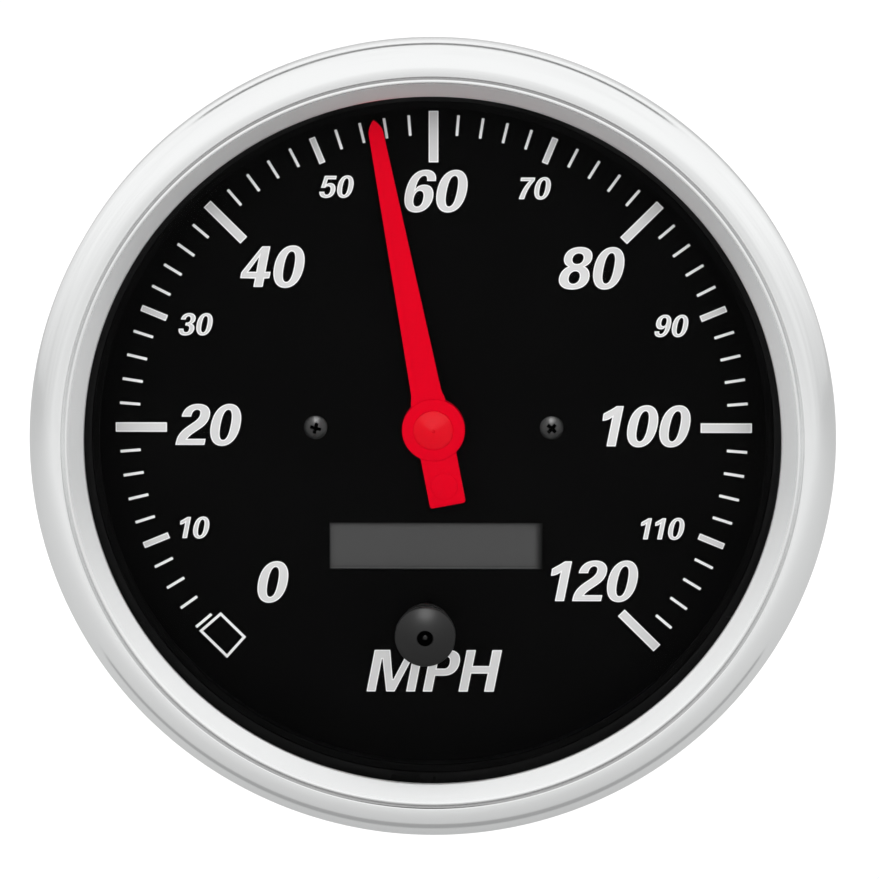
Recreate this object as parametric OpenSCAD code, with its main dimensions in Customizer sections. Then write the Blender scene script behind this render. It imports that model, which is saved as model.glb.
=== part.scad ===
// Electric speedometer for a round 5 inch panel hole, shown face on.
// Millimetres. The origin is on the dial's axis, in the plane where the bezel
// rests on the panel. The dial looks along -Y and the top of the dial is +Z.
// Each piece is drawn with x to the right and y up on the dial and z towards
// the driver, and facing() turns it into that position.

/* [Panel hole and case] */
// Diameter of the panel hole that the case passes through
panel_hole_d = 127; // [122:0.5:132]
// Gap all round between the case and the panel hole
hole_gap = 0.25; // [0.1:0.05:0.4]
// Length of the collar that sits in the panel hole
collar_len = 6; // [4:0.5:8]
// Step by which the case narrows behind the collar
collar_step = 1.2; // [1:0.1:1.6]
// Depth of the case behind the panel
case_depth = 58; // [54:1:70]
// Sheet thickness of the case
case_t = 1; // [0.8:0.1:1.3]
// Radius of the rounded rear edge of the case
case_corner = 6; // [4:0.5:7]
// Width of the raised rim round the rear face
rear_rim_w = 6; // [4:0.5:8]
// Depth by which the rear face is pressed in
rear_step = 1.5; // [1:0.25:2.5]

/* [Bezel] */
// How far the bezel laps over the panel all round
bezel_lap = 4.75; // [4.5:0.25:6]
// Sheet thickness of the bezel
bezel_t = 1.2; // [1:0.1:1.4]
// Radius of the rounded front corner
bezel_corner = 5; // [4:0.25:5.5]
// Width of the flat crest
crest_land = 0.65; // [0.4:0.05:0.9]
// Width of the groove inside the crest
groove_w = 0.6; // [0.4:0.05:0.9]
// Depth of that groove
groove_depth = 0.7; // [0.5:0.05:0.8]
// Width of the flat land inside the groove
land_w = 0.4; // [0.3:0.05:0.7]
// Drop of the land below the crest
land_drop = 0.3; // [0.2:0.05:0.5]
// Width of the sloping lip that holds the glass
lip_w = 2.7; // [2.4:0.05:3]
// Fall of the lip towards the glass
lip_drop = 2.5; // [2:0.1:2.8]
// Radius of the rolled rear edge
hem_round = 0.8; // [0.4:0.1:1]

/* [Glass and spacer] */
// Thickness of the glass
lens_t = 2.2; // [2:0.1:3]
// Least thickness of the rubber gasket over the glass
gasket_t = 0.4; // [0.3:0.1:0.8]
// Thickness of the spacer's flange under the glass
spacer_flange_t = 2.2; // [1.8:0.1:3]
// Thickness of the part of that flange that stands out over the dial
spacer_rim_t = 1.2; // [0.8:0.1:1.6]
// Black rim that shows inside the lip
rim_w = 2.3; // [1.6:0.1:3]
// Wall of the spacer and of the sleeve behind the dial
liner_wall = 1.8; // [1.4:0.1:2.4]

/* [Dial] */
// Depth of the dial's face below the crest
dial_depth = 19.5; // [17:0.5:22]
// Thickness of the dial
dial_t = 0.8; // [0.6:0.1:1.2]
// Highest speed on the scale
top_speed = 120; // [80:20:160]
// Angle that the scale takes up
scale_sweep = 270; // [220:5:280]
// Black edge between the scale and the rim
scale_edge = 1.9; // [1.2:0.1:3]
// Length of a tick at every 20
tick_long = 8.8; // [7:0.2:10]
// Length of a tick at every 10
tick_mid = 4.7; // [4:0.1:6]
// Length of a tick at every 2
tick_short = 3.5; // [2.5:0.1:4]
// Width of a tick at every 20
tick_long_w = 1.76; // [1.2:0.02:2]
// Width of a tick at every 10
tick_mid_w = 1.1; // [0.8:0.02:1.4]
// Width of a tick at every 2
tick_short_w = 0.55; // [0.4:0.01:0.7]
// Thickness of the print
print_t = 0.08; // [0.05:0.01:0.12]
// Width of the display window
window_w = 36.7; // [30:0.1:40]
// Height of the display window
window_h = 8.2; // [7:0.1:8.6]
// Distance of the window below the dial's centre
window_drop = 20.8; // [20.4:0.1:21]
// Distance of a dial screw from the centre
dial_screw_x = 20.3; // [18:0.1:24]

/* [Pointer] */
// Speed that the pointer shows
pointer_speed = 55.2; // [0:0.1:120]
// Distance from the centre to the tip
pointer_len = 54.1; // [48:0.1:55]
// Width of the blade near the hub
blade_w = 5.7; // [4:0.1:7]
// Width of the blade near the tip
blade_tip_w = 2.5; // [1.5:0.1:3]
// Width of the tail
tail_w = 6.2; // [5:0.1:8]
// Distance from the centre to the end of the tail
tail_len = 13.4; // [12:0.1:16]
// Diameter of the hub
hub_d = 10.84; // [9:0.02:13]
// Diameter of the domed cap on the hub
cap_d = 6.9; // [5:0.1:8]
// Thickness of the blade
blade_t = 1; // [0.8:0.1:1.4]
// Thickness of the hub
hub_t = 1.9; // [1.5:0.1:2.4]
// Gap between the dial and the hub
hub_gap = 1.1; // [0.8:0.1:1.6]
// Diameter of the pointer shaft
shaft_d = 1.2; // [1:0.1:1.6]

/* [Trip button] */
// Button's distance left of the dial's centre
button_left = 1.2; // [0:0.05:3]
// Button's distance below the dial's centre
button_drop = 32.8; // [32.6:0.1:36]
// Diameter of the button's cap
button_d = 10.3; // [9:0.1:12]
// Height of the cap with its dome
button_h = 3.1; // [2.8:0.1:4]
// Height of the dome alone
button_dome = 1.7; // [1.2:0.1:1.9]
// Diameter of the button's stem
stem_d = 3.5; // [3:0.1:4]
// Travel of the button
button_travel = 1; // [0.6:0.1:1.4]

/* [Movement and electronics] */
// Space between the dial and the circuit board
board_gap = 17.7; // [17:0.1:20]
// Thickness of the circuit board
board_t = 1.6; // [1.2:0.1:2]
// Diameter of the movement's can
can_d = 21; // [20.5:0.1:23]
// Wall of the movement's can
can_wall = 0.8; // [0.5:0.1:1]
// Height of the movement's can
can_h = 15.6; // [15:0.1:16.4]
// Side of the square bobbin
bobbin_w = 12.6; // [12.2:0.1:13]
// Thickness of one coil
coil_t = 1.1; // [0.8:0.1:1.3]
// Width of one coil band
coil_w = 3.6; // [3:0.1:4]
// Diameter of the rotor magnet
magnet_d = 8.4; // [7:0.1:9]
// Thickness of the rotor magnet
magnet_t = 2.4; // [2:0.1:2.8]

/* [Mounting hardware] */
// Diameter of a mounting stud, a number 10 screw
stud_d = 4.8; // [4:0.1:5]
// Distance of a stud from the axis
stud_x = 32; // [29:0.5:34]
// Length of a stud behind the case
stud_len = 30; // [28:0.5:34]
// Width of the clamp bracket's strip
bracket_w = 25; // [20:0.5:26]
// Thickness of the strip
bracket_t = 2; // [1.5:0.1:2.5]
// How far the bracket's feet stand behind the panel seat
feet_z = 10; // [9.6:0.1:12]
// Thinnest panel that the bracket can clamp
thin_panel = 1.5; // [1:0.1:3]
// Diameter of a thumb nut
thumb_nut_d = 13; // [11:0.5:15]
// Height of a thumb nut
thumb_nut_h = 8; // [7:0.5:9]
// Sideways distance of a lamp from the axis
lamp_x = 27; // [25:0.5:29]
// Height of a lamp above the axis
lamp_y = 27; // [25.5:0.5:29]
// Diameter of a lamp socket's barrel
lamp_barrel_d = 13.8; // [12:0.1:15]
// Width of the connector's cavity
plug_w = 20; // [17:0.5:22]
// Height of the connector's cavity
plug_h = 10.4; // [9.6:0.1:12]
// Distance of the connector below the axis
plug_drop = 32; // [30:0.5:34]

/* [Hidden] */
$fn = 96;

// Clearances
fit = 0.05;          // round pieces that turn or slide in each other
loose = 0.15;        // pieces that only pass each other
flange_gap = 0.15;   // case flange inside the bezel
seat_gap = 0.9;      // glass and spacer inside the bezel
liner_gap = 0.45;    // spacer, dial and sleeve inside the case
leg_gap = 0.7;       // bracket leg outside the panel hole

// Radii of the bezel and the case
hole_r = panel_hole_d / 2;
case_r = hole_r - hole_gap;
barrel_r = case_r - collar_step;
bezel_r = hole_r + bezel_lap;
crest_r = bezel_r - bezel_corner - crest_land;
groove_in = crest_r - groove_w;
land_in = groove_in - land_w;
lip_r = land_in - lip_w;
opening_r = lip_r - rim_w;
seat_r = bezel_r - bezel_t - seat_gap;
flange_r = bezel_r - bezel_t - flange_gap;
hem_r = case_r + bezel_t + loose;
liner_r = barrel_r - case_t - liner_gap;

// Heights of the stack that the bezel clamps, from the panel seat forwards
flange_z = bezel_t + case_t;
lens_z = flange_z + spacer_flange_t;
lens_top = lens_z + lens_t;
lip_z = lens_top + gasket_t + bezel_t;
land_z = lip_z + lip_drop;
bezel_h = land_z + land_drop;

// Heights behind the glass
dial_z = bezel_h - dial_depth;
dial_back = dial_z - dial_t;
board_top = dial_back - board_gap;
board_back = board_top - board_t;
back_z = -(case_depth - rear_step);
back_inner = back_z + case_t;

// Scale: zero is at the lower left, and speed grows clockwise
tick_r = opening_r - scale_edge;
tick_speed = 2;
tick_mid_inset = 0.5;
tick_short_inset = 0.6;
function speed_angle(v) = 90 + scale_sweep / 2 - scale_sweep * v / top_speed;
zero_box_half = 3.6;
zero_box_inset = 0.65;
zero_box_outer = tick_r - zero_box_inset;
zero_box_depth = 5;
zero_box_line = 0.45;

// Small screws
screw_r = 1.2;
screw_head_r = 2.03;
screw_head_h = 1.1;
screw_len = 6;
cross_w = 0.5;
cross_len = 2.3;
cross_depth = 0.6;
screw_turn = 20;
post_r = 3;
overlap = 0.01;

// Display
lcd_margin_x = 3.6;
lcd_margin_y = 2.4;
lcd_t = 2.4;
lcd_wall = 1.5;
lcd_ledge = 1.4;
window_x = 0.4;
lcd_w = window_w + 2 * lcd_margin_x;
lcd_h = window_h + 2 * lcd_margin_y;

// Pointer
hub_z = dial_z + hub_gap;
hub_top = hub_z + hub_t;
blade_sink = 0.3;
blade_z = hub_top - blade_t - blade_sink;
shaft_r = shaft_d / 2;
tip_round = 2.2;
cap_rise = 0.9;
weight_r = 2.3;
weight_at = 10;
weight_t = 2;
weight_lift = 0.15;
hub_sleeve_r = 1.7;
hub_sleeve_len = 0.6;
shaft_hole_gap = 0.4;
grip_gap = 0.02;

// Movement
can_r = can_d / 2;
can_inner_r = can_r - can_wall;
can_top = board_top + can_h;
base_t = 1.2;
coil_top_gap = 0.2;
bobbin_h = can_h - can_wall - base_t - 4 * coil_t - coil_top_gap;
bobbin_z = board_top + base_t + 2 * coil_t;
bobbin_mid = bobbin_z + bobbin_h / 2;
rotor_play = 0.8;
cavity_r = magnet_d / 2 + rotor_play;
cavity_half = magnet_t / 2 + rotor_play;
bush_r = 1.6;
bush_lift = 0.6;
coil_at = bush_r + loose + coil_w / 2;
pivot_depth = 0.8;

// Trip button
stem_r = stem_d / 2;
stem_hole_gap = 0.6;
grommet_wall = 1.3;
grommet_r = stem_r + grommet_wall;
grommet_flange_w = 1.4;
grommet_flange_r = grommet_r + grommet_flange_w;
grommet_flange_t = 1;
cap_gap = 0.3;
cap_z = lens_top + grommet_flange_t + button_travel + cap_gap;
press_gap = 0.1;
cap_socket = 1.2;
dimple_r = 1.3;
dimple_depth = 0.5;
stop_t = 1;
switch_w = 6.2;
switch_h = 3.6;
plunger_r = 1.7;
plunger_h = 1.2;
switch_top = board_top + switch_h + plunger_h;

// Board pieces
standoff_r = 3;
board_screw_head_r = 2.8;
board_screw_head_h = 1.7;
standoff_margin = 2.75;
rear_rim_in = barrel_r - case_corner - rear_rim_w;
standoff_at = rear_rim_in - rear_step - board_screw_head_r - standoff_margin;
board_screw_r = 1.5;
lamp_window_r = 8;
chip_lift = 0.2;
lead_reach = 1.1;
lead_len = 1.2;
lead_t = 0.4;
controller_at = [36, 2, 0];
controller_w = 10;
controller_h = 12;
controller_t = 1.6;
controller_leads = 8;
driver_at = [-36, 0, 0];
driver_w = 7;
driver_h = 12;
driver_t = 1.8;
driver_leads = 7;
capacitor_x = 30;
capacitor_y = -37;
capacitor_r = 4;
capacitor_h = 10;
capacitor_top_r = 3.4;
capacitor_top_h = 0.6;
regulator_y = 28;
regulator_w = 10;
regulator_h = 9;
regulator_t = 4.4;
tab_h = 6;
tab_t = 1.3;
tab_lap = 0.1;
tab_hole_r = 1.9;

// Studs and their nuts
stud_r = stud_d / 2;
stud_plate_r = 6;
stud_plate_t = 1.4;
washer_w = 2.8;
washer_r = stud_r + washer_w;
washer_t = 1;
hex_w = 3.1;
hex_r = stud_r + hex_w;
hex_t = 3.2;
hex_gap = 0.8;

// Clamp bracket: its front face clears the hex nuts when it clamps the thinnest panel
bracket_travel = feet_z - thin_panel;
strip_front = back_z - washer_t - hex_t - hex_gap - bracket_travel;
strip_back = strip_front - bracket_t;
leg_in = hole_r + leg_gap;
leg_out = leg_in + bracket_t;
bend_r = 3;
foot_round = 4;
bracket_hole_gap = 0.5;
bracket_hole_r = stud_r + bracket_hole_gap;
lock_t = 0.9;
lock_w = 2;
lock_gap = 0.2;
lock_slot = 1;
thumb_z = strip_back - lock_t;
thumb_r = thumb_nut_d / 2;
thumb_shoulder = 2;
thumb_shoulder_w = 2.2;
knurl_count = 28;
knurl_r = 0.5;

// Lamps
lamp_r = lamp_barrel_d / 2;
lamp_flange_w = 2.1;
lamp_flange_r = lamp_r + lamp_flange_w;
lamp_flange_t = 1.6;
lamp_inside = 10;
lug_reach = 1.7;
lug_w = 4;
lug_t = 1.6;
grip_r = lamp_r - 1;
grip_len = 8;
wing_t = 2.4;
pocket_r = 4.1;
pocket_depth = 8;
bulb_r = 4.8;
bulb_len = 8;
bulb_gap = 0.1;
contact_t = 0.8;
contact_w = 4;
contact_len = 6;
contact_in = 3;

// Connector
plug_wall = 2;
plug_out = 11;
plug_in = 3;
plug_floor = 2.4;
plug_flange = 2.5;
plug_flange_t = 1.6;
pin_count = 6;
pin_pitch = 2.6;
pin_side = 0.8;
pin_row = 2.7;
pin_rise = 6;
pin_inside = 4;

// Turns a piece drawn face up into its place behind the panel.
module facing() { rotate([90, 0, 0]) children(); }

// A round bar or disc between two heights.
module disc(r, z0, z1) { translate([0, 0, z0]) cylinder(r = r, h = z1 - z0); }

// A round tube between two heights.
module tube(r_out, r_in, z0, z1) {
    difference() {
        disc(r_out, z0, z1);
        disc(r_in, z0 - 1, z1 + 1);
    }
}

// A rectangular block centred on the axis between two heights.
module block(w, h, z0, z1) {
    translate([-w / 2, -h / 2, z0]) cube([w, h, z1 - z0]);
}

// Repeats a piece left and right at the same distance.
module both_sides(x, y = 0) {
    for (side = [-1, 1]) translate([side * x, y, 0]) children();
}

// Repeats a piece at the three standoffs.
module at_standoffs() {
    for (a = [90, 210, 330]) rotate(a) translate([standoff_at, 0, 0]) children();
}

module at_button() { translate([-button_left, -button_drop, 0]) children(); }

module at_window() { translate([window_x, -window_drop, 0]) children(); }

// Points along an arc, from one angle to the other.
function arc(x, y, r, from, to, steps = 12) =
    [for (i = [0:steps]) let (a = from + (to - from) * i / steps) [x + r * cos(a), y + r * sin(a)]];

// Underside of the lip, which the gasket follows.
lip_start = lip_r + bezel_t / 2;
lip_slope = lip_drop / (land_in - lip_start);
function lip_under(r) = lip_z - bezel_t + (r - lip_start) * lip_slope;

// Spun bezel in section: rolled rear edge, shoulder, crest, groove, land, lip and its round
// edge, then back along the inside of the sheet.
function bezel_section() = concat(
    [[hem_r, 0]],
    arc(bezel_r - hem_round, hem_round, hem_round, -90, 0, 6),
    arc(bezel_r - bezel_corner, bezel_h - bezel_corner, bezel_corner, 0, 90),
    [[crest_r, bezel_h], [crest_r, bezel_h - groove_depth]],
    [[groove_in, bezel_h - groove_depth], [groove_in, land_z], [land_in, land_z]],
    arc(lip_start, lip_z - bezel_t / 2, bezel_t / 2, 90, 270, 6),
    [[land_in, lip_under(land_in)]],
    arc(bezel_r - bezel_corner, bezel_h - bezel_corner, bezel_corner - bezel_t, 90, 0),
    [[bezel_r - bezel_t, bezel_t], [hem_r, bezel_t]]
);

module bezel() {
    color("gainsboro") facing() rotate_extrude() polygon(bezel_section());
}

module lens_gasket() {
    color("dimgray") facing() rotate_extrude() polygon([
        [lip_start, lens_top],
        [land_in, lens_top],
        [land_in, lip_under(land_in)],
        [lip_start, lip_under(lip_start)]
    ]);
}

module lens() {
    color("lightcyan") facing() difference() {
        disc(seat_r, lens_z, lens_top);
        at_button() disc(grommet_r + fit, lens_z - 1, lens_top + 1);
    }
}

// Grommet in the glass that guides the button's stem.
module button_grommet() {
    color("black") facing() at_button() difference() {
        union() {
            disc(grommet_r, lens_z - grommet_flange_t, lens_top + grommet_flange_t);
            disc(grommet_flange_r, lens_top, lens_top + grommet_flange_t);
            disc(grommet_flange_r, lens_z - grommet_flange_t, lens_z);
        }
        disc(stem_r + fit, lens_z - 2 * grommet_flange_t, lens_top + 2 * grommet_flange_t);
    }
}

// Black ring between the glass and the dial, with a rim that stands out over the scale.
module spacer_ring() {
    color("black") facing() rotate_extrude() polygon([
        [opening_r, lens_z - spacer_rim_t],
        [liner_r - liner_wall, lens_z - spacer_rim_t],
        [liner_r - liner_wall, dial_z],
        [liner_r, dial_z],
        [liner_r, flange_z],
        [seat_r, flange_z],
        [seat_r, lens_z],
        [opening_r, lens_z]
    ]);
}

module dial_plate() {
    color("black") facing() difference() {
        disc(liner_r, dial_back, dial_z);
        disc(hub_sleeve_r + shaft_hole_gap, dial_back - 1, dial_z + 1);
        both_sides(dial_screw_x) disc(screw_r + fit, dial_back - 1, dial_z + 1);
        at_button() disc(stem_r + stem_hole_gap, dial_back - 1, dial_z + 1);
        at_window() block(window_w, window_h, dial_back - 1, dial_z + 1);
    }
}

module tick(v, outer, length, width) {
    rotate(speed_angle(v))
        translate([outer - length, -width / 2, dial_z]) cube([length, width, print_t]);
}

// Printed scale: a short tick at every 2, a middle one at every 10, a long one at every 20.
module dial_ticks() {
    color("white") facing() for (v = [tick_speed:tick_speed:top_speed]) {
        if (v % 20 == 0) tick(v, tick_r, tick_long, tick_long_w);
        else if (v % 10 == 0) tick(v, tick_r - tick_mid_inset, tick_mid, tick_mid_w);
        else tick(v, tick_r - tick_short_inset, tick_short, tick_short_w);
    }
}

// Outline of the box at zero, whose sides run towards the dial's centre.
function zero_box_outline(inset) =
    let (r_in = zero_box_outer - zero_box_depth + inset)
    let (r_out = zero_box_outer - inset)
    let (w_in = r_in * tan(zero_box_half) - inset)
    let (w_out = r_out * tan(zero_box_half) - inset)
    [[r_in, -w_in], [r_out, -w_out], [r_out, w_out], [r_in, w_in]];

// Outlined box at zero, where the pointer parks.
module zero_box() {
    color("white") facing() rotate(speed_angle(0)) translate([0, 0, dial_z]) difference() {
        linear_extrude(print_t) polygon(zero_box_outline(0));
        translate([0, 0, -1]) linear_extrude(print_t + 2) polygon(zero_box_outline(zero_box_line));
    }
}

// Pan head screw with a cross recess, its head resting on z = 0.
module pan_screw(head_r, head_h, shank_r, length) {
    dome_r = (head_r * head_r + head_h * head_h) / (2 * head_h);
    difference() {
        union() {
            rotate_extrude() intersection() {
                square([head_r, head_h]);
                translate([0, head_h - dome_r]) circle(dome_r);
            }
            disc(shank_r, -length, overlap);
        }
        for (a = [0, 90]) rotate(a)
            block(cross_len / screw_head_r * head_r, cross_w, head_h - cross_depth, head_h + 1);
    }
}

module dial_screws() {
    color("black") facing() both_sides(dial_screw_x) translate([0, 0, dial_z])
        rotate(screw_turn) pan_screw(screw_head_r, screw_head_h, screw_r, screw_len);
}

// Posts on the board that carry the dial.
module dial_posts() {
    color("tan") facing() both_sides(dial_screw_x) difference() {
        disc(post_r, board_top, dial_back);
        disc(screw_r + fit, dial_back - screw_len, dial_back + 1);
    }
}

module lcd_glass() {
    color("dimgray") facing() at_window() block(lcd_w, lcd_h, dial_back - lcd_t, dial_back);
}

// Frame that carries the display between the board and the dial.
module lcd_frame() {
    outer_w = lcd_w + 2 * lcd_wall;
    outer_h = lcd_h + 2 * lcd_wall;
    color("whitesmoke") facing() at_window() difference() {
        block(outer_w, outer_h, board_top, dial_back);
        block(lcd_w + 2 * fit, lcd_h + 2 * fit, dial_back - lcd_t, dial_back + 1);
        block(lcd_w - 2 * lcd_ledge, lcd_h - 2 * lcd_ledge, board_top - 1, dial_back + 1);
    }
}

// White sleeve between the dial and the board, which spreads the lamp light.
module inner_sleeve() {
    color("white") facing() tube(liner_r, liner_r - liner_wall, board_top, dial_back);
}

module movement_can() {
    color("silver") facing() difference() {
        disc(can_r, board_top, can_top);
        disc(can_inner_r, board_top - 1, can_top - can_wall);
        disc(bush_r + fit, can_top - 2 * can_wall, can_top + 1);
    }
}

module movement_base() {
    color("darkslategray") facing() disc(can_inner_r - fit, board_top, board_top + base_t);
}

module movement_bush() {
    color("goldenrod") facing()
        tube(bush_r, shaft_r + fit, bobbin_mid + cavity_half, can_top + bush_lift);
}

// Upper half of the bobbin, bored for the bush.
module bobbin_upper() {
    color("ivory") facing() difference() {
        block(bobbin_w, bobbin_w, bobbin_mid, bobbin_z + bobbin_h);
        disc(cavity_r, bobbin_mid - 1, bobbin_mid + cavity_half);
        disc(bush_r, bobbin_mid, bobbin_z + bobbin_h + 1);
    }
}

// Lower half of the bobbin, with the cup that the shaft's foot turns in.
module bobbin_lower() {
    color("ivory") facing() difference() {
        block(bobbin_w, bobbin_w, bobbin_z, bobbin_mid);
        disc(cavity_r, bobbin_mid - cavity_half, bobbin_mid + 1);
        disc(shaft_r + fit, bobbin_mid - cavity_half - pivot_depth - fit, bobbin_mid);
    }
}

// One band of a coil, wound lengthways round the bobbin.
module coil_band(inner_w, inner_h) {
    difference() {
        block(inner_w + 2 * coil_t, coil_w, -inner_h / 2 - coil_t, inner_h / 2 + coil_t);
        block(inner_w, coil_w + 1, -inner_h / 2, inner_h / 2);
    }
}

// First coil: two bands, one on each side of the shaft.
module coil_inner() {
    color("chocolate") facing() translate([0, 0, bobbin_mid])
        for (side = [-1, 1]) translate([0, side * coil_at, 0]) coil_band(bobbin_w, bobbin_h);
}

// Second coil, wound across the first and over it.
module coil_outer() {
    color("peru") facing() translate([0, 0, bobbin_mid]) rotate(90)
        for (side = [-1, 1]) translate([0, side * coil_at, 0])
            coil_band(bobbin_w, bobbin_h + 2 * coil_t);
}

module circuit_board() {
    color("darkgreen") facing() difference() {
        disc(liner_r, board_back, board_top);
        at_standoffs() disc(board_screw_r + fit, board_back - 1, board_top + 1);
        both_sides(lamp_x, lamp_y) disc(lamp_window_r, board_back - 1, board_top + 1);
    }
}

// Chip with a row of leads along two sides, its body resting on the board.
module chip(w, h, t, leads) {
    lead_pitch = h / leads;
    block(w, h, board_top + chip_lift, board_top + chip_lift + t);
    for (side = [-1, 1], i = [0:leads - 1])
        translate([side * (w + lead_reach) / 2, (i - (leads - 1) / 2) * lead_pitch, 0])
            block(lead_len, lead_pitch / 2, board_top, board_top + lead_t);
}

module microcontroller() {
    color("dimgray") facing() translate(controller_at)
        chip(controller_w, controller_h, controller_t, controller_leads);
}

module driver_chip() {
    color("dimgray") facing() translate(driver_at)
        chip(driver_w, driver_h, driver_t, driver_leads);
}

module capacitors() {
    color("slategray") facing() both_sides(capacitor_x, capacitor_y) union() {
        disc(capacitor_r, board_top, board_top + capacitor_h);
        disc(capacitor_top_r, board_top, board_top + capacitor_h + capacitor_top_h);
    }
}

// Regulator that lies on the board, with its metal tab.
module voltage_regulator() {
    color("dimgray") facing() translate([0, regulator_y, 0]) union() {
        block(regulator_w, regulator_h, board_top, board_top + regulator_t);
        translate([0, (regulator_h + tab_h) / 2 - tab_lap, 0]) difference() {
            block(regulator_w, tab_h, board_top, board_top + tab_t);
            disc(tab_hole_r, board_top - 1, board_top + tab_t + 1);
        }
    }
}

// Push switch that the button's stem presses.
module tact_switch() {
    color("dimgray") facing() at_button() union() {
        block(switch_w, switch_w, board_top, board_top + switch_h);
        disc(plunger_r, board_top + switch_h, switch_top);
    }
}

// Round spacers between the board and the rear of the case.
module board_standoffs() {
    color("silver") facing() at_standoffs()
        tube(standoff_r, board_screw_r + fit, back_inner, board_back);
}

module board_screws() {
    color("gainsboro") facing() at_standoffs() translate([0, 0, board_top])
        pan_screw(board_screw_head_r, board_screw_head_h, board_screw_r, screw_len + board_t);
}

module case_screws() {
    color("gainsboro") facing() at_standoffs() translate([0, 0, back_z]) rotate([180, 0, 0])
        pan_screw(board_screw_head_r, board_screw_head_h, board_screw_r, screw_len + case_t);
}

// Drawn case in section: pressed-in rear face, rim, rounded edge, barrel, collar and flange,
// then back along the inside of the sheet.
function case_section() =
    let (neck_r = case_r + bezel_t)
    let (corner_r = barrel_r - case_corner)
    let (corner_z = case_corner - case_depth)
    let (slant = 0.4 * case_t)
    concat(
        [[0, back_z], [rear_rim_in - rear_step, back_z], [rear_rim_in, -case_depth]],
        arc(corner_r, corner_z, case_corner, -90, 0),
        [[barrel_r, -collar_len - collar_step], [case_r, -collar_len]],
        arc(neck_r, 0, bezel_t, 180, 90, 6),
        [[flange_r, bezel_t], [flange_r, flange_z]],
        arc(neck_r, 0, flange_z, 90, 180, 6),
        [[case_r - case_t, -collar_len], [barrel_r - case_t, -collar_len - collar_step]],
        arc(corner_r, corner_z, case_corner - case_t, 0, -90),
        [[rear_rim_in + slant, case_t - case_depth], [rear_rim_in - rear_step + slant, back_inner]],
        [[0, back_inner]]
    );

module case_shell() {
    color("dimgray") facing() difference() {
        rotate_extrude() polygon(case_section());
        both_sides(stud_x) disc(stud_r + fit, back_z - 1, back_inner + 1);
        at_standoffs() disc(board_screw_r + fit, back_z - 1, back_inner + 1);
        both_sides(lamp_x, lamp_y) union() {
            disc(lamp_r + fit, back_z - 1, back_inner + 1);
            block(2 * (lamp_r + lug_reach + loose), lug_w + 2 * loose, back_z - 1, back_inner + 1);
        }
        translate([0, -plug_drop, 0])
            block(plug_w + 2 * (plug_wall + fit), plug_h + 2 * (plug_wall + fit),
                back_z - 1, back_inner + 1);
    }
}

// Studs with a round foot inside the case.
module mounting_studs() {
    color("silver") facing() both_sides(stud_x) union() {
        disc(stud_plate_r, back_inner, back_inner + stud_plate_t);
        disc(stud_r, back_z - stud_len, back_inner + overlap);
    }
}

module stud_washers() {
    color("silver") facing() both_sides(stud_x)
        tube(washer_r, stud_r + fit, back_z - washer_t, back_z);
}

module stud_nuts() {
    color("silver") facing() both_sides(stud_x) difference() {
        translate([0, 0, back_z - washer_t - hex_t]) cylinder(r = hex_r, h = hex_t, $fn = 6);
        disc(stud_r + fit, back_z - washer_t - hex_t - 1, back_z);
    }
}

// Moulded shroud of the rear connector, open to the rear.
module connector_header() {
    outer_w = plug_w + 2 * plug_wall;
    outer_h = plug_h + 2 * plug_wall;
    mouth_z = back_z - plug_out;
    color("black") facing() translate([0, -plug_drop, 0]) difference() {
        union() {
            block(outer_w, outer_h, mouth_z, back_inner + plug_in);
            block(outer_w + 2 * plug_flange, outer_h + 2 * plug_flange,
                back_z - plug_flange_t, back_z);
        }
        block(plug_w, plug_h, mouth_z - 1, back_inner + plug_in - plug_floor);
        at_pins() block(pin_side + fit, pin_side + fit, back_z, back_inner + plug_in + 1);
    }
}

module at_pins() {
    for (i = [0:pin_count - 1])
        translate([(i - (pin_count - 1) / 2) * pin_pitch, -pin_row, 0]) children();
}

module connector_pins() {
    floor_z = back_inner + plug_in - plug_floor;
    color("gold") facing() translate([0, -plug_drop, 0]) at_pins()
        block(pin_side, pin_side, floor_z - pin_rise, back_inner + plug_in + pin_inside);
}

// Turns a piece drawn along +y to the pointer's reading.
module at_pointer() { rotate(speed_angle(pointer_speed) - 90) children(); }

// Outline of the blade: straight sides that end in a rounded point.
function blade_outline(steps = 6) = [
    for (i = [0:steps]) let (s = i / steps)
        [blade_tip_w / 2 * sqrt(1 - s * s), pointer_len - tip_round + tip_round * s],
    for (i = [steps:-1:0]) let (s = i / steps)
        [-blade_tip_w / 2 * sqrt(1 - s * s), pointer_len - tip_round + tip_round * s],
    [-blade_w / 2, 0],
    [blade_w / 2, 0]
];

module pointer_blade() {
    color("crimson") facing() at_pointer() difference() {
        union() {
            translate([0, 0, blade_z]) linear_extrude(blade_t) polygon(blade_outline());
            translate([-tail_w / 2, -tail_len, blade_z]) cube([tail_w, tail_len, blade_t]);
            disc(hub_d / 2, hub_z, hub_top);
            disc(hub_sleeve_r, hub_z - hub_sleeve_len, hub_z + overlap);
        }
        disc(shaft_r + grip_gap, hub_z - 2, hub_top + 1);
        translate([0, -weight_at, 0]) disc(weight_r + grip_gap, blade_z - 1, blade_z + blade_t + 1);
    }
}

// Domed cap that covers the end of the shaft.
module pointer_cap() {
    cap_r = cap_d / 2;
    dome_r = (cap_r * cap_r + cap_rise * cap_rise) / (2 * cap_rise);
    color("crimson") facing() translate([0, 0, hub_top]) rotate_extrude() intersection() {
        square([cap_r, cap_rise]);
        translate([0, cap_rise - dome_r]) circle(dome_r, $fn = 240);
    }
}

module pointer_shaft() {
    color("silver") facing() disc(shaft_r, bobbin_mid - cavity_half - pivot_depth, hub_top);
}

module rotor_magnet() {
    color("dimgray") facing()
        tube(magnet_d / 2, shaft_r + grip_gap, bobbin_mid - magnet_t / 2, bobbin_mid + magnet_t / 2);
}

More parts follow.
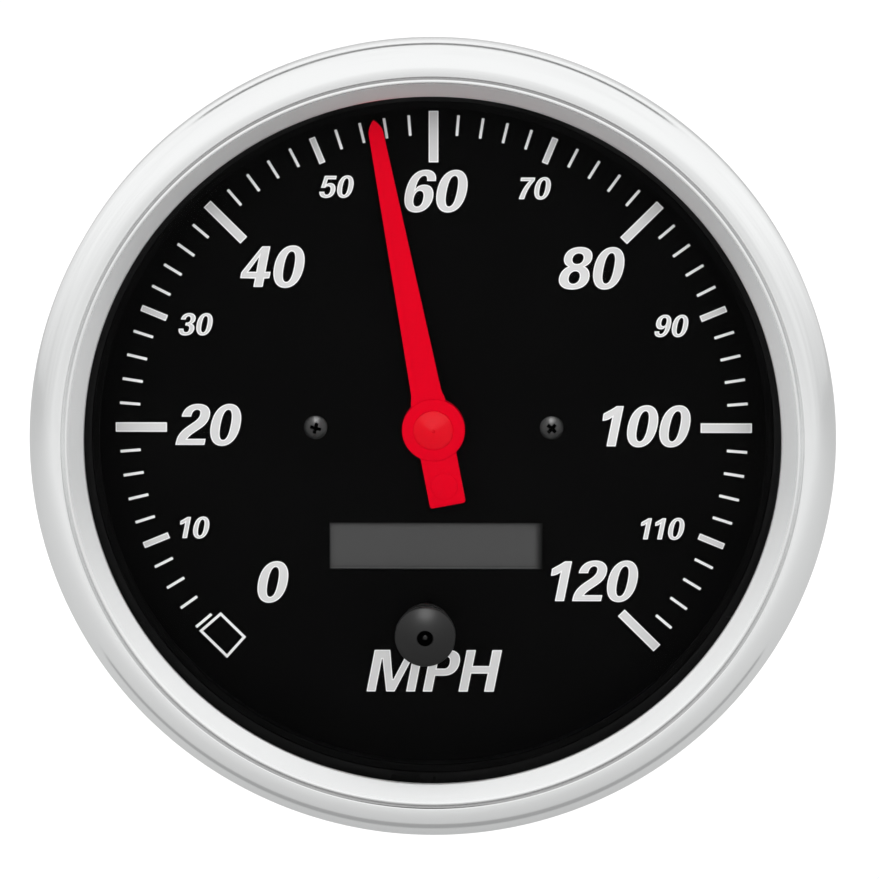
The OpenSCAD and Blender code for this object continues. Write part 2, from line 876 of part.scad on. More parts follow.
// Balance weight riveted into the tail.
module pointer_weight() {
    color("firebrick") facing() at_pointer() translate([0, -weight_at, 0])
        disc(weight_r, blade_z + blade_t - weight_t, blade_z + blade_t + weight_lift);
}

module button_cap() {
    r = button_d / 2;
    dome_r = (r * r + button_dome * button_dome) / (2 * button_dome);
    color("black") facing() at_button() translate([0, 0, cap_z]) difference() {
        rotate_extrude() intersection() {
            square([r, button_h]);
            translate([0, button_h - dome_r]) circle(dome_r, $fn = 240);
        }
        disc(stem_r + grip_gap, -1, cap_socket);
        disc(dimple_r, button_h - dimple_depth, button_h + 1);
    }
}

// Stem through the glass and the dial, with the collar that stops it under the grommet.
module button_stem() {
    stop_z = lens_z - grommet_flange_t - press_gap;
    color("black") facing() at_button() union() {
        disc(stem_r, switch_top + button_travel + press_gap, cap_z + cap_socket);
        disc(grommet_r, stop_z - stop_t, stop_z);
    }
}

// Outline of the bracket across its legs: a U with rounded corners, open to the front.
module u_outline(half_w, z_back, z_front, r) {
    union() {
        translate([-half_w, z_back + r]) square([2 * half_w, z_front - z_back - r]);
        translate([-half_w + r, z_back]) square([2 * (half_w - r), r + overlap]);
        for (side = [-1, 1]) translate([side * (half_w - r), z_back + r]) circle(r);
    }
}

// Strap across the rear with two legs that press on the panel.
module clamp_bracket() {
    color("silver") facing() difference() {
        rotate([90, 0, 0]) translate([0, 0, -bracket_w / 2]) linear_extrude(bracket_w)
            difference() {
                u_outline(leg_out, strip_back, -feet_z, bend_r + bracket_t);
                u_outline(leg_in, strip_front, 1, bend_r);
            }
        both_sides(stud_x) disc(bracket_hole_r, strip_back - 1, strip_front + 1);
        for (side = [-1, 1]) translate([0, side * bracket_w / 2, -feet_z])
            rotate([0, 90, 0]) foot_corner();
    }
}

// Rounds one corner of both feet.
module foot_corner() {
    translate([0, 0, -leg_out - 1]) difference() {
        translate([-1, -foot_round, 0]) cube([foot_round + 1, 2 * foot_round, 2 * leg_out + 2]);
        for (side = [-1, 1]) translate([foot_round, side * foot_round, -1])
            cylinder(r = foot_round, h = 2 * leg_out + 4);
    }
}

// Split spring washers under the thumb nuts.
module lock_washers() {
    color("silver") facing() both_sides(stud_x) difference() {
        tube(stud_r + lock_gap + lock_w, stud_r + lock_gap, thumb_z, strip_back);
        translate([0, -lock_slot / 2, thumb_z - 1]) cube([stud_r + 2 * lock_w, lock_slot, lock_t + 2]);
    }
}

// Knurled nut with a plain shoulder.
module thumb_nut() {
    head_z = thumb_z - thumb_shoulder;
    difference() {
        union() {
            disc(thumb_r - thumb_shoulder_w, head_z, thumb_z);
            disc(thumb_r, thumb_z - thumb_nut_h, head_z + overlap);
        }
        disc(stud_r + fit, thumb_z - thumb_nut_h - 1, thumb_z + 1);
        for (i = [0:knurl_count - 1]) rotate(i * 360 / knurl_count) translate([thumb_r, 0, 0])
            disc(knurl_r, thumb_z - thumb_nut_h - 1, head_z + 1);
    }
}

module thumb_nut_left() {
    color("silver") facing() translate([-stud_x, 0, 0]) thumb_nut();
}

module thumb_nut_right() {
    color("silver") facing() translate([stud_x, 0, 0]) thumb_nut();
}

// Lamp socket: barrel and lugs inside the case, flange and winged grip outside.
module lamp_socket() {
    difference() {
        union() {
            disc(lamp_r, back_z - lamp_flange_t, back_z + lamp_inside);
            disc(lamp_flange_r, back_z - lamp_flange_t - fit, back_z - fit);
            disc(grip_r, back_z - lamp_flange_t - grip_len, back_z - lamp_flange_t);
            block(2 * lamp_r, wing_t, back_z - lamp_flange_t - grip_len, back_z - lamp_flange_t);
            block(lug_w, 2 * (lamp_r + lug_reach), back_inner + loose, back_inner + loose + lug_t);
        }
        disc(pocket_r, back_z + lamp_inside - pocket_depth, back_z + lamp_inside + 1);
        for (side = [-1, 1]) translate([side * contact_in, 0, 0])
            block(contact_t + fit, contact_w + fit,
                back_z - lamp_flange_t - grip_len - 1, back_z - lamp_flange_t);
    }
}

// Wedge bulb: base in the socket, glass with a round top.
module lamp_bulb() {
    glass_z = back_z + lamp_inside + bulb_gap;
    union() {
        disc(pocket_r - fit, back_z + lamp_inside - pocket_depth + fit, glass_z + overlap);
        disc(bulb_r, glass_z, glass_z + bulb_len);
        translate([0, 0, glass_z + bulb_len]) sphere(bulb_r);
    }
}

// Two blades that the lamp's leads push on.
module lamp_contacts() {
    inner_z = back_z - lamp_flange_t;
    for (side = [-1, 1]) translate([side * contact_in, 0, 0])
        block(contact_t, contact_w, inner_z - grip_len - contact_len, inner_z);
}

module lamp_socket_left() {
    color("black") facing() translate([-lamp_x, lamp_y, 0]) lamp_socket();
}

module lamp_socket_right() {
    color("black") facing() translate([lamp_x, lamp_y, 0]) lamp_socket();
}

module lamp_bulb_left() {
    color("lightyellow") facing() translate([-lamp_x, lamp_y, 0]) lamp_bulb();
}

module lamp_bulb_right() {
    color("lightyellow") facing() translate([lamp_x, lamp_y, 0]) lamp_bulb();
}

module lamp_contacts_left() {
    color("goldenrod") facing() translate([-lamp_x, lamp_y, 0]) lamp_contacts();
}

module lamp_contacts_right() {
    color("goldenrod") facing() translate([lamp_x, lamp_y, 0]) lamp_contacts();
}

bezel();
lens_gasket();
lens();
button_grommet();
spacer_ring();
dial_plate();
dial_ticks();
zero_box();
dial_screws();
dial_posts();
lcd_glass();
lcd_frame();
inner_sleeve();
movement_can();
movement_base();
movement_bush();
bobbin_upper();
bobbin_lower();
coil_inner();
coil_outer();
circuit_board();
microcontroller();
driver_chip();
capacitors();
voltage_regulator();
tact_switch();
board_standoffs();
board_screws();
case_shell();
case_screws();
mounting_studs();
stud_washers();
stud_nuts();
connector_header();
connector_pins();
pointer_blade();
pointer_cap();
pointer_shaft();
rotor_magnet();
pointer_weight();
button_cap();
button_stem();
clamp_bracket();
lock_washers();
thumb_nut_left();
thumb_nut_right();
lamp_socket_left();
lamp_bulb_left();
lamp_contacts_left();
lamp_socket_right();
lamp_bulb_right();
lamp_contacts_right();
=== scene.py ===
# %% [markdown]
# # Round dash speedometer
# The real object is an electric speedometer for a 5 inch hole: a spun metal bezel, a flat glass
# with a trip button through it, a black dial with a printed scale, and a red pointer. The packed
# model already holds every solid at its place. Here the pieces that the eye meets first are
# modelled again with finer edges, and every other node keeps its shape and gets a real finish.

import math
import re
from contextlib import contextmanager

import bpy
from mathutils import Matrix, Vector


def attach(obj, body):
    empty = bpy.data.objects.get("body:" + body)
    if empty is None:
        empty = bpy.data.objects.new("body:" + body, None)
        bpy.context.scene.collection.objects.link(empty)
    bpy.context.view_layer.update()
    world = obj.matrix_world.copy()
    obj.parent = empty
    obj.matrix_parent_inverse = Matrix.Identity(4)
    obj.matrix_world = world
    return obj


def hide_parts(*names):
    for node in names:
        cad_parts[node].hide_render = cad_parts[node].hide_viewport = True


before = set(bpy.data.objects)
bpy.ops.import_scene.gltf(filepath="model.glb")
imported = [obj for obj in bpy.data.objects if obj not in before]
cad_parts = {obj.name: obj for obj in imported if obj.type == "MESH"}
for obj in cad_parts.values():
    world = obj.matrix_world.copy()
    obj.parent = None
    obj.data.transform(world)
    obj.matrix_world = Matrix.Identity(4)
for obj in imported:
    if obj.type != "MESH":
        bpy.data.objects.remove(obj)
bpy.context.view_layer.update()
bpy.ops.object.select_all(action="DESELECT")

# %% [markdown]
# All sizes below are in millimetres, the unit of the drawing. One function turns a point that is
# given as x to the right, y up and h towards the driver into Blender's metres, where the dial
# looks along -Y. The heights that several pieces share come first.

# %% Millimetres, shared sizes and the point function
MM = 0.001
bezel_front = 11.0
glass_back = 4.4
dial_front = -8.5
opening_r = 56.6
scale_r = 54.7
print_height = 0.08
edge_angle = math.radians(50)


def point(x, y, h):
    """A point of the drawing, in Blender's metres."""
    return Vector((x, -h, y)) * MM


def arc(x, y, r, start, end, steps=8):
    """Points on a circle of radius r round (x, y), between two angles in degrees."""
    turns = [math.radians(start + (end - start) * i / steps) for i in range(steps + 1)]
    return [(x + r * math.cos(a), y + r * math.sin(a)) for a in turns]


print("dial", round(bezel_front - dial_front, 1), "mm below the crest")

# %% [markdown]
# ## Camera
# A catalogue picture of an instrument is taken with a long lens from almost straight ahead. The
# circles of the dial and the bezel are shifted against each other by an amount that fits a camera
# 10 degrees above the axis and a little to its right, 0.9 m away, so the camera is put there with
# a matching focal length.

# %% Camera
camera_target = Vector((0.00111, 0, -0.00059))
camera_distance = 0.9
camera_rise, camera_side = math.radians(10), math.radians(0.67)
camera_back = Vector(
    (
        math.sin(camera_side) * math.cos(camera_rise),
        -math.cos(camera_side) * math.cos(camera_rise),
        math.sin(camera_rise),
    )
)
bpy.ops.object.camera_add(location=camera_target + camera_distance * camera_back)
camera = bpy.context.object
camera.rotation_euler = (-camera_back).to_track_quat("-Z", "Y").to_euler()
camera.data.lens = 216.3
camera.data.sensor_width = 36
camera.data.clip_start = 0.05
bpy.context.scene.camera = camera
bpy.context.scene.view_settings.view_transform = "Standard"
print("camera at", [round(v, 3) for v in camera.location])

# %% [markdown]
# ## Node helpers
# Every finish below is a small node tree. One function adds a node with its settings and its
# links, and one turns the hex colour that a picture program shows into Blender's linear colour.
# Two more start a material and hand its last shader to the output.

# %% Node helpers
white = (1, 1, 1, 1)


def linear(hex_colour):
    """sRGB hex to linear RGBA."""
    parts = [int(hex_colour[i : i + 2], 16) / 255 for i in (1, 3, 5)]
    return [p / 12.92 if p <= 0.04045 else ((p + 0.055) / 1.055) ** 2.4 for p in parts] + [1]


def add(tree, kind, settings=None):
    """Adds a node. A setting is an attribute or a socket, its value a number or an output."""
    node = tree.nodes.new("ShaderNode" + kind)
    for key, value in (settings or {}).items():
        if isinstance(value, bpy.types.NodeSocket):
            tree.links.new(value, node.inputs[key])
        elif isinstance(key, str) and key in node.bl_rna.properties:
            setattr(node, key, value)
        else:
            node.inputs[key].default_value = value
    return node


def new_finish(name):
    """A material, its node tree, and the place on the object that its patterns read."""
    finish = bpy.data.materials.new(name)
    finish.use_nodes = True
    tree = finish.node_tree
    tree.nodes.clear()
    return finish, tree, add(tree, "TexCoord").outputs["Object"]


def to_surface(tree, kind, settings):
    """Adds the last shader of a material and hands it to the output."""
    shader = add(tree, kind, settings)
    add(tree, "OutputMaterial", {"Surface": shader.outputs[0]})


print("linear middle grey", [round(v, 3) for v in linear("#808080")][:3])

# %% [markdown]
# Five kinds of node come back in nearly every finish: a noise, a change of range, arithmetic, a mix
# of two colours and a bump. Each gets a short call that returns its output, so that one call can
# stand inside another.


# %% Short calls for the nodes that repeat
def noise(tree, place, scale, detail=2, **settings):
    """A noise of that scale per metre."""
    settings.update({"Scale": scale, "Detail": detail, "Vector": place})
    return add(tree, "TexNoise", settings).outputs["Fac"]


def remap(tree, value, before, after=(0, 1), ease=False):
    """A value carried from one range to another."""
    ends = dict(zip(("From Min", "From Max", "To Min", "To Max"), (*before, *after)))
    way = {"interpolation_type": "SMOOTHSTEP" if ease else "LINEAR"}
    return add(tree, "MapRange", {**way, **ends, "Value": value}).outputs[0]


def maths(tree, operation, *values, clamp=False):
    """Arithmetic on numbers and outputs."""
    settings = {"operation": operation, "use_clamp": clamp, **dict(enumerate(values))}
    return add(tree, "Math", settings).outputs[0]


def mix_colours(tree, factor, colour, shade):
    """Two hex colours mixed by a factor."""
    settings = {"data_type": "RGBA", 0: factor, 6: linear(colour), 7: linear(shade)}
    return add(tree, "Mix", settings).outputs[2]


def bump(tree, height, strength, distance):
    """The bent normal of a relief of that distance in metres."""
    settings = {"Strength": strength, "Distance": distance, "Height": height}
    return add(tree, "Bump", settings).outputs["Normal"]


print("five short calls")

# %% [markdown]
# ## Studio
# The picture was taken in a white tent. Bright metal shows what stands round it: the tent is near
# white above, light grey at the sides and below, and a little brighter again on the camera's
# side. The world has these brightnesses by direction, and plain white for the camera. The cloth
# hangs in folds round the camera's opening: a noise that changes faster towards that opening
# than round it.

# %% World
world = bpy.data.worlds.new("white_tent")
world.use_nodes = True
bpy.context.scene.world = world
tree = world.node_tree
tree.nodes.clear()
direction = add(tree, "TexCoord").outputs["Generated"]
split = add(tree, "SeparateXYZ", {0: direction}).outputs
roof = remap(tree, split["Z"], (-0.25, 0.55), (0.6, 0.99), ease=True)
front = remap(tree, split["Y"], (-0.4, -1), (0, 0.15), ease=True)
cloth = maths(tree, "ADD", roof, front)
drawn = add(tree, "VectorMath", {"operation": "MULTIPLY", 0: direction, 1: (1, 2.5, 1)})
folds = remap(tree, noise(tree, drawn.outputs[0], 4, 5), (0.35, 0.65), (0.93, 1.05))
brightness = maths(tree, "MULTIPLY", cloth, folds, clamp=True)
inside = add(tree, "Background", {"Color": white, "Strength": brightness})
backdrop = add(tree, "Background", {"Color": white})
camera_ray = add(tree, "LightPath").outputs["Is Camera Ray"]
tent = add(tree, "MixShader", {0: camera_ray, 1: inside.outputs[0], 2: backdrop.outputs[0]})
add(tree, "OutputWorld", {"Surface": tent.outputs[0]})
print("world nodes", len(tree.nodes))

# %% [markdown]
# A softbox close to the camera lights the dial from the front, so that neither the lip nor the
# pointer throws a visible shadow on it. It is hidden from reflections, because the photograph shows
# no bright patch of it on the metal.

# %% Softbox
bpy.ops.object.light_add(type="AREA", location=(0, -1, 0.42))
softbox = bpy.context.object
softbox.name = "softbox"
softbox.rotation_euler = softbox.location.to_track_quat("Z", "Y").to_euler()
softbox.data.shape = "RECTANGLE"
softbox.data.size = 1.1
softbox.data.size_y = 0.8
softbox.data.energy = 7
softbox.visible_glossy = False
print("softbox", softbox.data.energy, "W")

# %% [markdown]
# The floor is the table's pale laminate. The camera sees it as white paper with the object's
# shadow on it, and polished metal sees it as the pale grey that it is. Its front edge lies 0.7 m
# before the object, so the bezel's crest looks past it at the tent.

# %% Floor
floor_size, floor_front, floor_height = 14, -0.7, -0.12
floor_place = (0, floor_front + floor_size / 2, floor_height)
bpy.ops.mesh.primitive_plane_add(size=floor_size, location=floor_place)
floor = bpy.context.object
floor.name = "floor"
finish, tree, place = new_finish("pale_laminate")
tone = mix_colours(tree, noise(tree, place, 300), "#C4C4C4", "#C8C8C8")
laminate = add(tree, "BsdfDiffuse", {"Color": tone}).outputs[0]
paper = add(tree, "BsdfDiffuse", {"Color": white}).outputs[0]
lift = add(tree, "Emission", {"Strength": 0.12}).outputs[0]
bright_paper = add(tree, "AddShader", {0: paper, 1: lift}).outputs[0]
camera_ray = add(tree, "LightPath").outputs["Is Camera Ray"]
to_surface(tree, "MixShader", {0: camera_ray, 1: laminate, 2: bright_paper})
floor.data.materials.append(finish)
print("floor", floor.dimensions.x, "m wide")

# %% [markdown]
# Two grey cards draw the thin darker lines near the bezel's outer edge: one lies on the table below
# the bezel, for the lower line, and one hangs above and behind it, for the upper line. Only
# polished metal sees them.

# %% Grey cards
card_grey, tree, place = new_finish("grey_card")
tone = mix_colours(tree, noise(tree, place, 800, 3), "#9A9A9A", "#A2A2A2")
to_surface(tree, "BsdfDiffuse", {"Color": tone})
for name, height, near, far, half in (
    ("card_on_table", -0.119, -0.036, -0.012, 0.15),
    ("card_above", 0.4, 0.17, 0.3, 0.35),
):
    bpy.ops.mesh.primitive_plane_add(size=1, location=(0, (near + far) / 2, height))
    card = bpy.context.object
    card.name = name
    card.scale = (2 * half, far - near, 1)
    bpy.ops.object.transform_apply(location=False, rotation=False, scale=True)
    card.data.materials.append(card_grey)
    card.visible_camera = card.visible_diffuse = card.visible_shadow = False
    print(name, round(card.dimensions.x, 2), "x", round(card.dimensions.y, 2), "m")

# %% [markdown]
# ## Finishes that repeat
# Most pieces are moulded plastic, painted or plated sheet, or turned metal. Such a surface has one
# colour that drifts a little, a roughness, and a fine relief: the grain of the mould, the orange
# peel of the paint or the marks of the tool. So one function makes that kind of finish from the
# real colour and the real grain in millimetres. Finishes with a pattern of their own get their own
# cells further down.


# %% Finish with a drifting colour and a fine grain
def grained_finish(name, colour, shade, metallic, roughness, grain, relief, specular=0.5):
    """Two colours mixed by a slow noise, and a bump from a fine one: grain and relief in mm."""
    finish, tree, place = new_finish(name)
    slow = noise(tree, place, 60, 3)
    fine = noise(tree, place, 1 / (grain * MM), Roughness=0.6)
    settings = {
        "Metallic": metallic,
        "Specular IOR Level": specular,
        "Base Color": mix_colours(tree, slow, colour, shade),
        "Roughness": remap(tree, slow, (0, 1), (roughness * 0.85, roughness * 1.15)),
        "Normal": bump(tree, fine, 0.5, relief * MM),
    }
    to_surface(tree, "BsdfPrincipled", settings)
    return finish


black_abs = grained_finish("moulded_black_abs", "#1B1B1B", "#151515", 0, 0.42, 0.25, 0.01)
rubber = grained_finish("black_epdm_rubber", "#121212", "#0C0C0C", 0, 0.8, 0.4, 0.02)
white_abs = grained_finish("moulded_white_abs", "#E8E6DF", "#DEDBD2", 0, 0.5, 0.3, 0.01)
zinc_steel = grained_finish("zinc_plated_steel", "#C9CACB", "#B5B8BC", 1, 0.34, 0.2, 0.006)
print(len(bpy.data.materials), "materials")

# %% [markdown]
# ## Ways to handle a piece
# Most operators work on the piece that is selected and active, so one function makes a piece the
# only one. Three more build on it: one goes into edit mode and back, one shades a piece smooth up
# to an angle, and one adds a modifier and applies it.


# %% Select, edit, smooth and modify
def select_only(piece):
    """Makes the piece selected and active, and no other."""
    bpy.ops.object.select_all(action="DESELECT")
    piece.select_set(True)
    bpy.context.view_layer.objects.active = piece


@contextmanager
def editing(piece):
    """Edit mode on the piece with its whole mesh selected, and object mode afterwards."""
    select_only(piece)
    bpy.ops.object.mode_set(mode="EDIT")
    bpy.ops.mesh.select_all(action="SELECT")
    yield
    bpy.ops.object.mode_set(mode="OBJECT")


def smooth(piece, degrees):
    """Shades the piece smooth where its faces meet at less than that angle."""
    select_only(piece)
    bpy.ops.object.shade_smooth_by_angle(angle=math.radians(degrees))


def modify(piece, kind, **settings):
    """Adds a modifier with its settings and applies it."""
    modifier = piece.modifiers.new(kind.lower(), kind)
    for key, value in settings.items():
        setattr(modifier, key, value)
    select_only(piece)
    bpy.ops.object.modifier_apply(modifier=modifier.name)


print("four ways to handle a piece")

# %% [markdown]
# ## Ways to draw
# A round piece is drawn as half of its section, one point after the other with the extrude
# operator, as with E in edit mode, and then spun round its axis. That is how the metal spinner's
# chuck or the mould was turned, and it gives clean rings of faces for the reflections.


# %% Spin a section round an axis
def draw_section(name, section, centre, closed):
    """Draws edges through points of radius and height in mm, and leaves them selected."""
    bpy.ops.object.select_all(action="DESELECT")
    bpy.ops.mesh.primitive_plane_add(size=MM)
    piece = bpy.context.object
    piece.name = name
    points = [point(centre[0] + r, centre[1], h) for r, h in section]
    if closed:
        points.append(points[0])
    bpy.ops.object.mode_set(mode="EDIT")
    bpy.ops.mesh.merge(type="CENTER")
    bpy.ops.transform.translate(value=points[0])
    for here, there in zip(points, points[1:]):
        bpy.ops.mesh.extrude_vertices_move(TRANSFORM_OT_translate={"value": there - here})
    bpy.ops.mesh.select_all(action="SELECT")
    return piece


def spin_section(name, section, centre=(0, 0), steps=192):
    """Spins the section round the axis through centre. One that starts on the axis stays open."""
    piece = draw_section(name, section, centre, closed=section[0][0] > 0)
    bpy.ops.mesh.spin(
        steps=steps, angle=2 * math.pi, center=point(centre[0], centre[1], 0), axis=(0, 1, 0)
    )
    bpy.ops.mesh.select_all(action="SELECT")
    bpy.ops.mesh.remove_doubles(threshold=1e-6)
    bpy.ops.mesh.normals_make_consistent(inside=False)
    bpy.ops.object.mode_set(mode="OBJECT")
    smooth(piece, 35)
    print(name, len(piece.data.polygons), "faces")
    return piece


# %% [markdown]
# A flat piece, such as a pointer blade or a printed number, is drawn as a flat outline with a pen,
# so a filled 2D curve suits it: outlines inside an outline become holes. Each outline is a line of
# text in the way that drawing programs write a path: M starts it, L draws a straight line and C a
# curve with its two handles. The curve becomes a mesh before it is turned to face the driver.


# %% Fill flat outlines
def read_path(text):
    """Corners of an outline: each has its place and the handles before and after it."""
    knots = []
    for kind, numbers in re.findall("([MLC])([^MLC]*)", text):
        values = [float(number) for number in numbers.split()]
        knot = {"at": tuple(values[-2:]), "before": None, "after": None}
        if kind == "C":
            knots[-1]["after"] = tuple(values[:2])
            knot["before"] = tuple(values[2:4])
        knots.append(knot)
    if knots[-1]["at"] == knots[0]["at"]:
        knots[0]["before"] = knots.pop()["before"]
    return knots


def wound(knots, way):
    """The same outline, anticlockwise for way 1 and clockwise for way -1."""
    area = sum(
        a["at"][0] * b["at"][1] - b["at"][0] * a["at"][1]
        for a, b in zip(knots, knots[1:] + knots[:1])
    )
    if area * way > 0:
        return knots
    return [{"at": k["at"], "before": k["after"], "after": k["before"]} for k in reversed(knots)]


def fill_outlines(name, outlines, height, place=lambda x, y: (x, y), shrink=0):
    """A flat mesh at that height from paths as text, each moved by place, its edge drawn in."""
    curve = bpy.data.curves.new(name, "CURVE")
    curve.dimensions = "2D"
    curve.fill_mode = "BOTH"
    curve.resolution_u = 8
    curve.offset = -shrink
    for i, text in enumerate(outlines):
        knots = wound(read_path(text), -1 if i else 1)
        spline = curve.splines.new("BEZIER")
        spline.bezier_points.add(len(knots) - 1)
        spline.use_cyclic_u = True
        for knot, corner in zip(knots, spline.bezier_points):
            corner.co = (*place(*knot["at"]), 0)
            for side, handle in (("before", "left"), ("after", "right")):
                bent = knot[side] is not None
                setattr(corner, f"handle_{handle}_type", "FREE" if bent else "VECTOR")
                setattr(corner, f"handle_{handle}", (*place(*(knot[side] or knot["at"])), 0))
    piece = bpy.data.objects.new(name, curve)
    bpy.context.scene.collection.objects.link(piece)
    select_only(piece)
    piece.scale = (MM, MM, MM)
    bpy.ops.object.convert(target="MESH")
    piece = bpy.context.object
    piece.rotation_euler.x = math.pi / 2
    piece.location.y = -height * MM
    bpy.ops.object.transform_apply(location=True, rotation=True, scale=True)
    with editing(piece):
        bpy.ops.mesh.remove_doubles(threshold=2e-6)
    return piece


def polygon_path(corners):
    """A path with straight sides through corners."""
    return " ".join(f"{'L' if i else 'M'} {x:.4f} {y:.4f}" for i, (x, y) in enumerate(corners))


def thicken(piece, depth):
    """Gives a flat piece its thickness, away from the driver, in mm."""
    modify(piece, "SOLIDIFY", thickness=depth * MM, offset=-1)


print(len(read_path("M 0 0 L 1 0 C 1 1 0 1 0 0")), "corners in a half moon")

# %% [markdown]
# ## Bezel
# The bezel is spun over a chuck from bright aluminium sheet: the rear edge is rolled under, the
# side is straight, the shoulder round, and inside the narrow crest a groove, a flat land and a
# steep lip lead down to the glass. A lathe section gives all of it in one spin. The edges get
# their small radii here, because each of them draws a bright or a dark line round the bezel.

# %% Bezel
bezel = spin_section(
    "bezel_spun",
    [(64.6, 0)]
    + arc(67.45, 0.8, 0.8, -90, 0, 6)
    + [(68.25, 5.86), (68.2, 5.9), (68.2, 5.95), (68.25, 5.99)]
    + arc(63.25, 6, 5, 1, 90, 28)
    + arc(62.78, 10.75, 0.25, 90, 140, 5)
    + arc(62.33, 10.52, 0.06, -40, -140, 4)
    + arc(61.8, 10.38, 0.3, 52, 138, 8)
    + arc(59.5, 7.6, 0.6, 130, 270, 10)
    + [(61.6, 9.5)]
    + arc(63.25, 6, 3.8, 90, 0, 10)
    + [(67.05, 1.2), (64.6, 1.2)],
    steps=256,
)
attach(bezel, "housing")
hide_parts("bezel")

# %% [markdown]
# The aluminium is polished while it turns, so it is a mirror that is drawn out along fine rings.
# The rings are a noise that reads only the distance from the axis and the height, stretched so
# that a scratch is about 0.1 mm wide, a little coarser than the real ones so that it shows. In the
# groove, between its two radii, the base colour turns grey: a painted shade for the dark in the
# groove, deeper at the top and the bottom than at the sides. The lip inside it is only brushed, so
# it gets a greater roughness.

# %% Polished spun aluminium
groove_r = 62.33 * MM
bezel_finish, tree, place = new_finish("polished_spun_aluminium")
flat = add(tree, "VectorMath", {"operation": "MULTIPLY", 0: place, 1: (1, 0, 1)}).outputs[0]
radius = add(tree, "VectorMath", {"operation": "LENGTH", 0: flat}).outputs["Value"]
axes = add(tree, "SeparateXYZ", {0: place}).outputs
ring_place = add(tree, "CombineXYZ", {0: radius, 1: axes["Y"]}).outputs[0]
rings = noise(tree, ring_place, 9000, Roughness=0.7)
gloss = remap(tree, noise(tree, place, 45, 4), (0, 1), (0.1, 0.22))
on_lip = remap(tree, radius, (61.7 * MM, 61.3 * MM), (0, 0.15))
# Painted shade: the base colour turns grey in the groove, more at the top and bottom than at the
# sides.
off_groove = maths(tree, "ABSOLUTE", maths(tree, "SUBTRACT", radius, groove_r))
in_groove = remap(tree, off_groove, (0.34 * MM, 0.26 * MM))
from_side = maths(tree, "ABSOLUTE", maths(tree, "DIVIDE", axes["Z"], radius))
painted_shade = remap(tree, from_side, (0, 0.9), (0.1, 1))
grey = maths(tree, "MULTIPLY", in_groove, painted_shade)
settings = {
    "Metallic": 1,
    "Base Color": mix_colours(tree, grey, "#F6F7F7", "#C4C4C4"),
    "Roughness": maths(tree, "ADD", gloss, on_lip),
    "Normal": bump(tree, rings, 0.25, 0.004 * MM),
}
to_surface(tree, "BsdfPrincipled", settings)
bezel.data.materials.append(bezel_finish)
print("bezel finish", len(tree.nodes), "nodes")

# %% [markdown]
# ## Spacer ring
# Between the glass and the dial sits a black moulded ring. Its rim shows inside the lip as two
# rings: a satin land under the glass, and a deeper step towards the scale. It is spun from a
# section with that step, and by its radius the inner step gets a rougher plastic with a darker
# colour: the darker colour is a painted shade for the step's recess.

# %% Spacer ring
painted_shade_within = 57.85
spacer = spin_section(
    "spacer_ring_moulded",
    [(opening_r + 0.1, 3.2), (opening_r, 3.3), (opening_r, 3.75)]
    + arc(opening_r + 0.15, 3.8, 0.15, 180, 90, 3)
    + [(57.7, 3.95), (57.78, 4.32), (57.88, glass_back), (66.05, glass_back), (66.15, 4.3)]
    + [(66.15, 2.3), (66.05, 2.2), (60.6, 2.2), (60.6, dial_front), (58.8, dial_front)]
    + [(58.8, 3.2)],
)
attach(spacer, "housing")
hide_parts("spacer_ring")
spacer.data.materials.append(
    grained_finish("satin_black_abs", "#0A0A0A", "#070707", 0, 0.38, 0.3, 0.008, 0.1)
)
spacer.data.materials.append(
    grained_finish("painted_shade_dull_black_abs", "#040404", "#020202", 0, 0.7, 0.3, 0.01, 0.05)
)
# Painted shade: the faces inside that radius get the darker, rougher black.
for face in spacer.data.polygons:
    if math.hypot(face.center.x, face.center.z) < painted_shade_within * MM:
        face.material_index = 1
print(sum(f.material_index for f in spacer.data.polygons), "duller faces")

# %% [markdown]
# ## Dial print
# The scale is screen printed on the black dial. The long and middle ticks, the numbers and the
# word below are light grey with a brighter outline: the screen lays down white ink, and a second
# pass of grey ink stops short of its edge. A tick is filled flat and inset by the width of that
# outline. A digit is drawn twice, the second time with its edge drawn in. The short ticks and the
# box at zero are plain white.

# %% Inks
white_ink = grained_finish("white_screen_ink", "#F2F2F2", "#E6E6E6", 0, 0.55, 0.12, 0.01, 0.3)
grey_ink = grained_finish("grey_screen_ink", "#D4D4D4", "#C6C6C6", 0, 0.55, 0.12, 0.01, 0.3)
tick_ink = grained_finish("tick_screen_ink", "#F4F4F4", "#ECECEC", 0, 0.55, 0.12, 0.01, 0.3)
outline_w = 0.2


def print_outlined(piece):
    """Insets the whole print: the rim stays white ink, the field becomes grey ink."""
    piece.data.materials.append(white_ink)
    piece.data.materials.append(grey_ink)
    with editing(piece):
        bpy.ops.mesh.inset(thickness=outline_w * MM, use_boundary=True)
        piece.active_material_index = 1
        bpy.ops.object.material_slot_assign()


def join_pieces(name, parts):
    """Joins parts into one piece."""
    select_only(parts[0])
    for part in parts:
        part.select_set(True)
    bpy.ops.object.join()
    parts[0].name = name
    bpy.ops.object.shade_flat()
    print(name, len(parts[0].data.polygons), "faces")
    return parts[0]


print("outline", outline_w, "mm wide")

# %% [markdown]
# The ticks are drawn at the right of the dial and turned to their speed. Zero is at the lower left
# and the scale runs clockwise over 270 degrees.


# %% Scale ticks
def scale_turn(speed):
    """The direction of a speed on the scale."""
    return math.radians(225 - 2.25 * speed)


def turned(angle):
    """Places a point that is drawn at the right of the dial at that angle."""
    return lambda x, y: (
        x * math.cos(angle) - y * math.sin(angle),
        x * math.sin(angle) + y * math.cos(angle),
    )


def tick_at(speed, outer, length, width):
    """One flat tick, from its outer end inwards."""
    half = width / 2
    bar = [(outer - length, -half), (outer, -half), (outer, half), (outer - length, half)]
    height = dial_front + print_height
    return fill_outlines("tick", [polygon_path(bar)], height, turned(scale_turn(speed)))


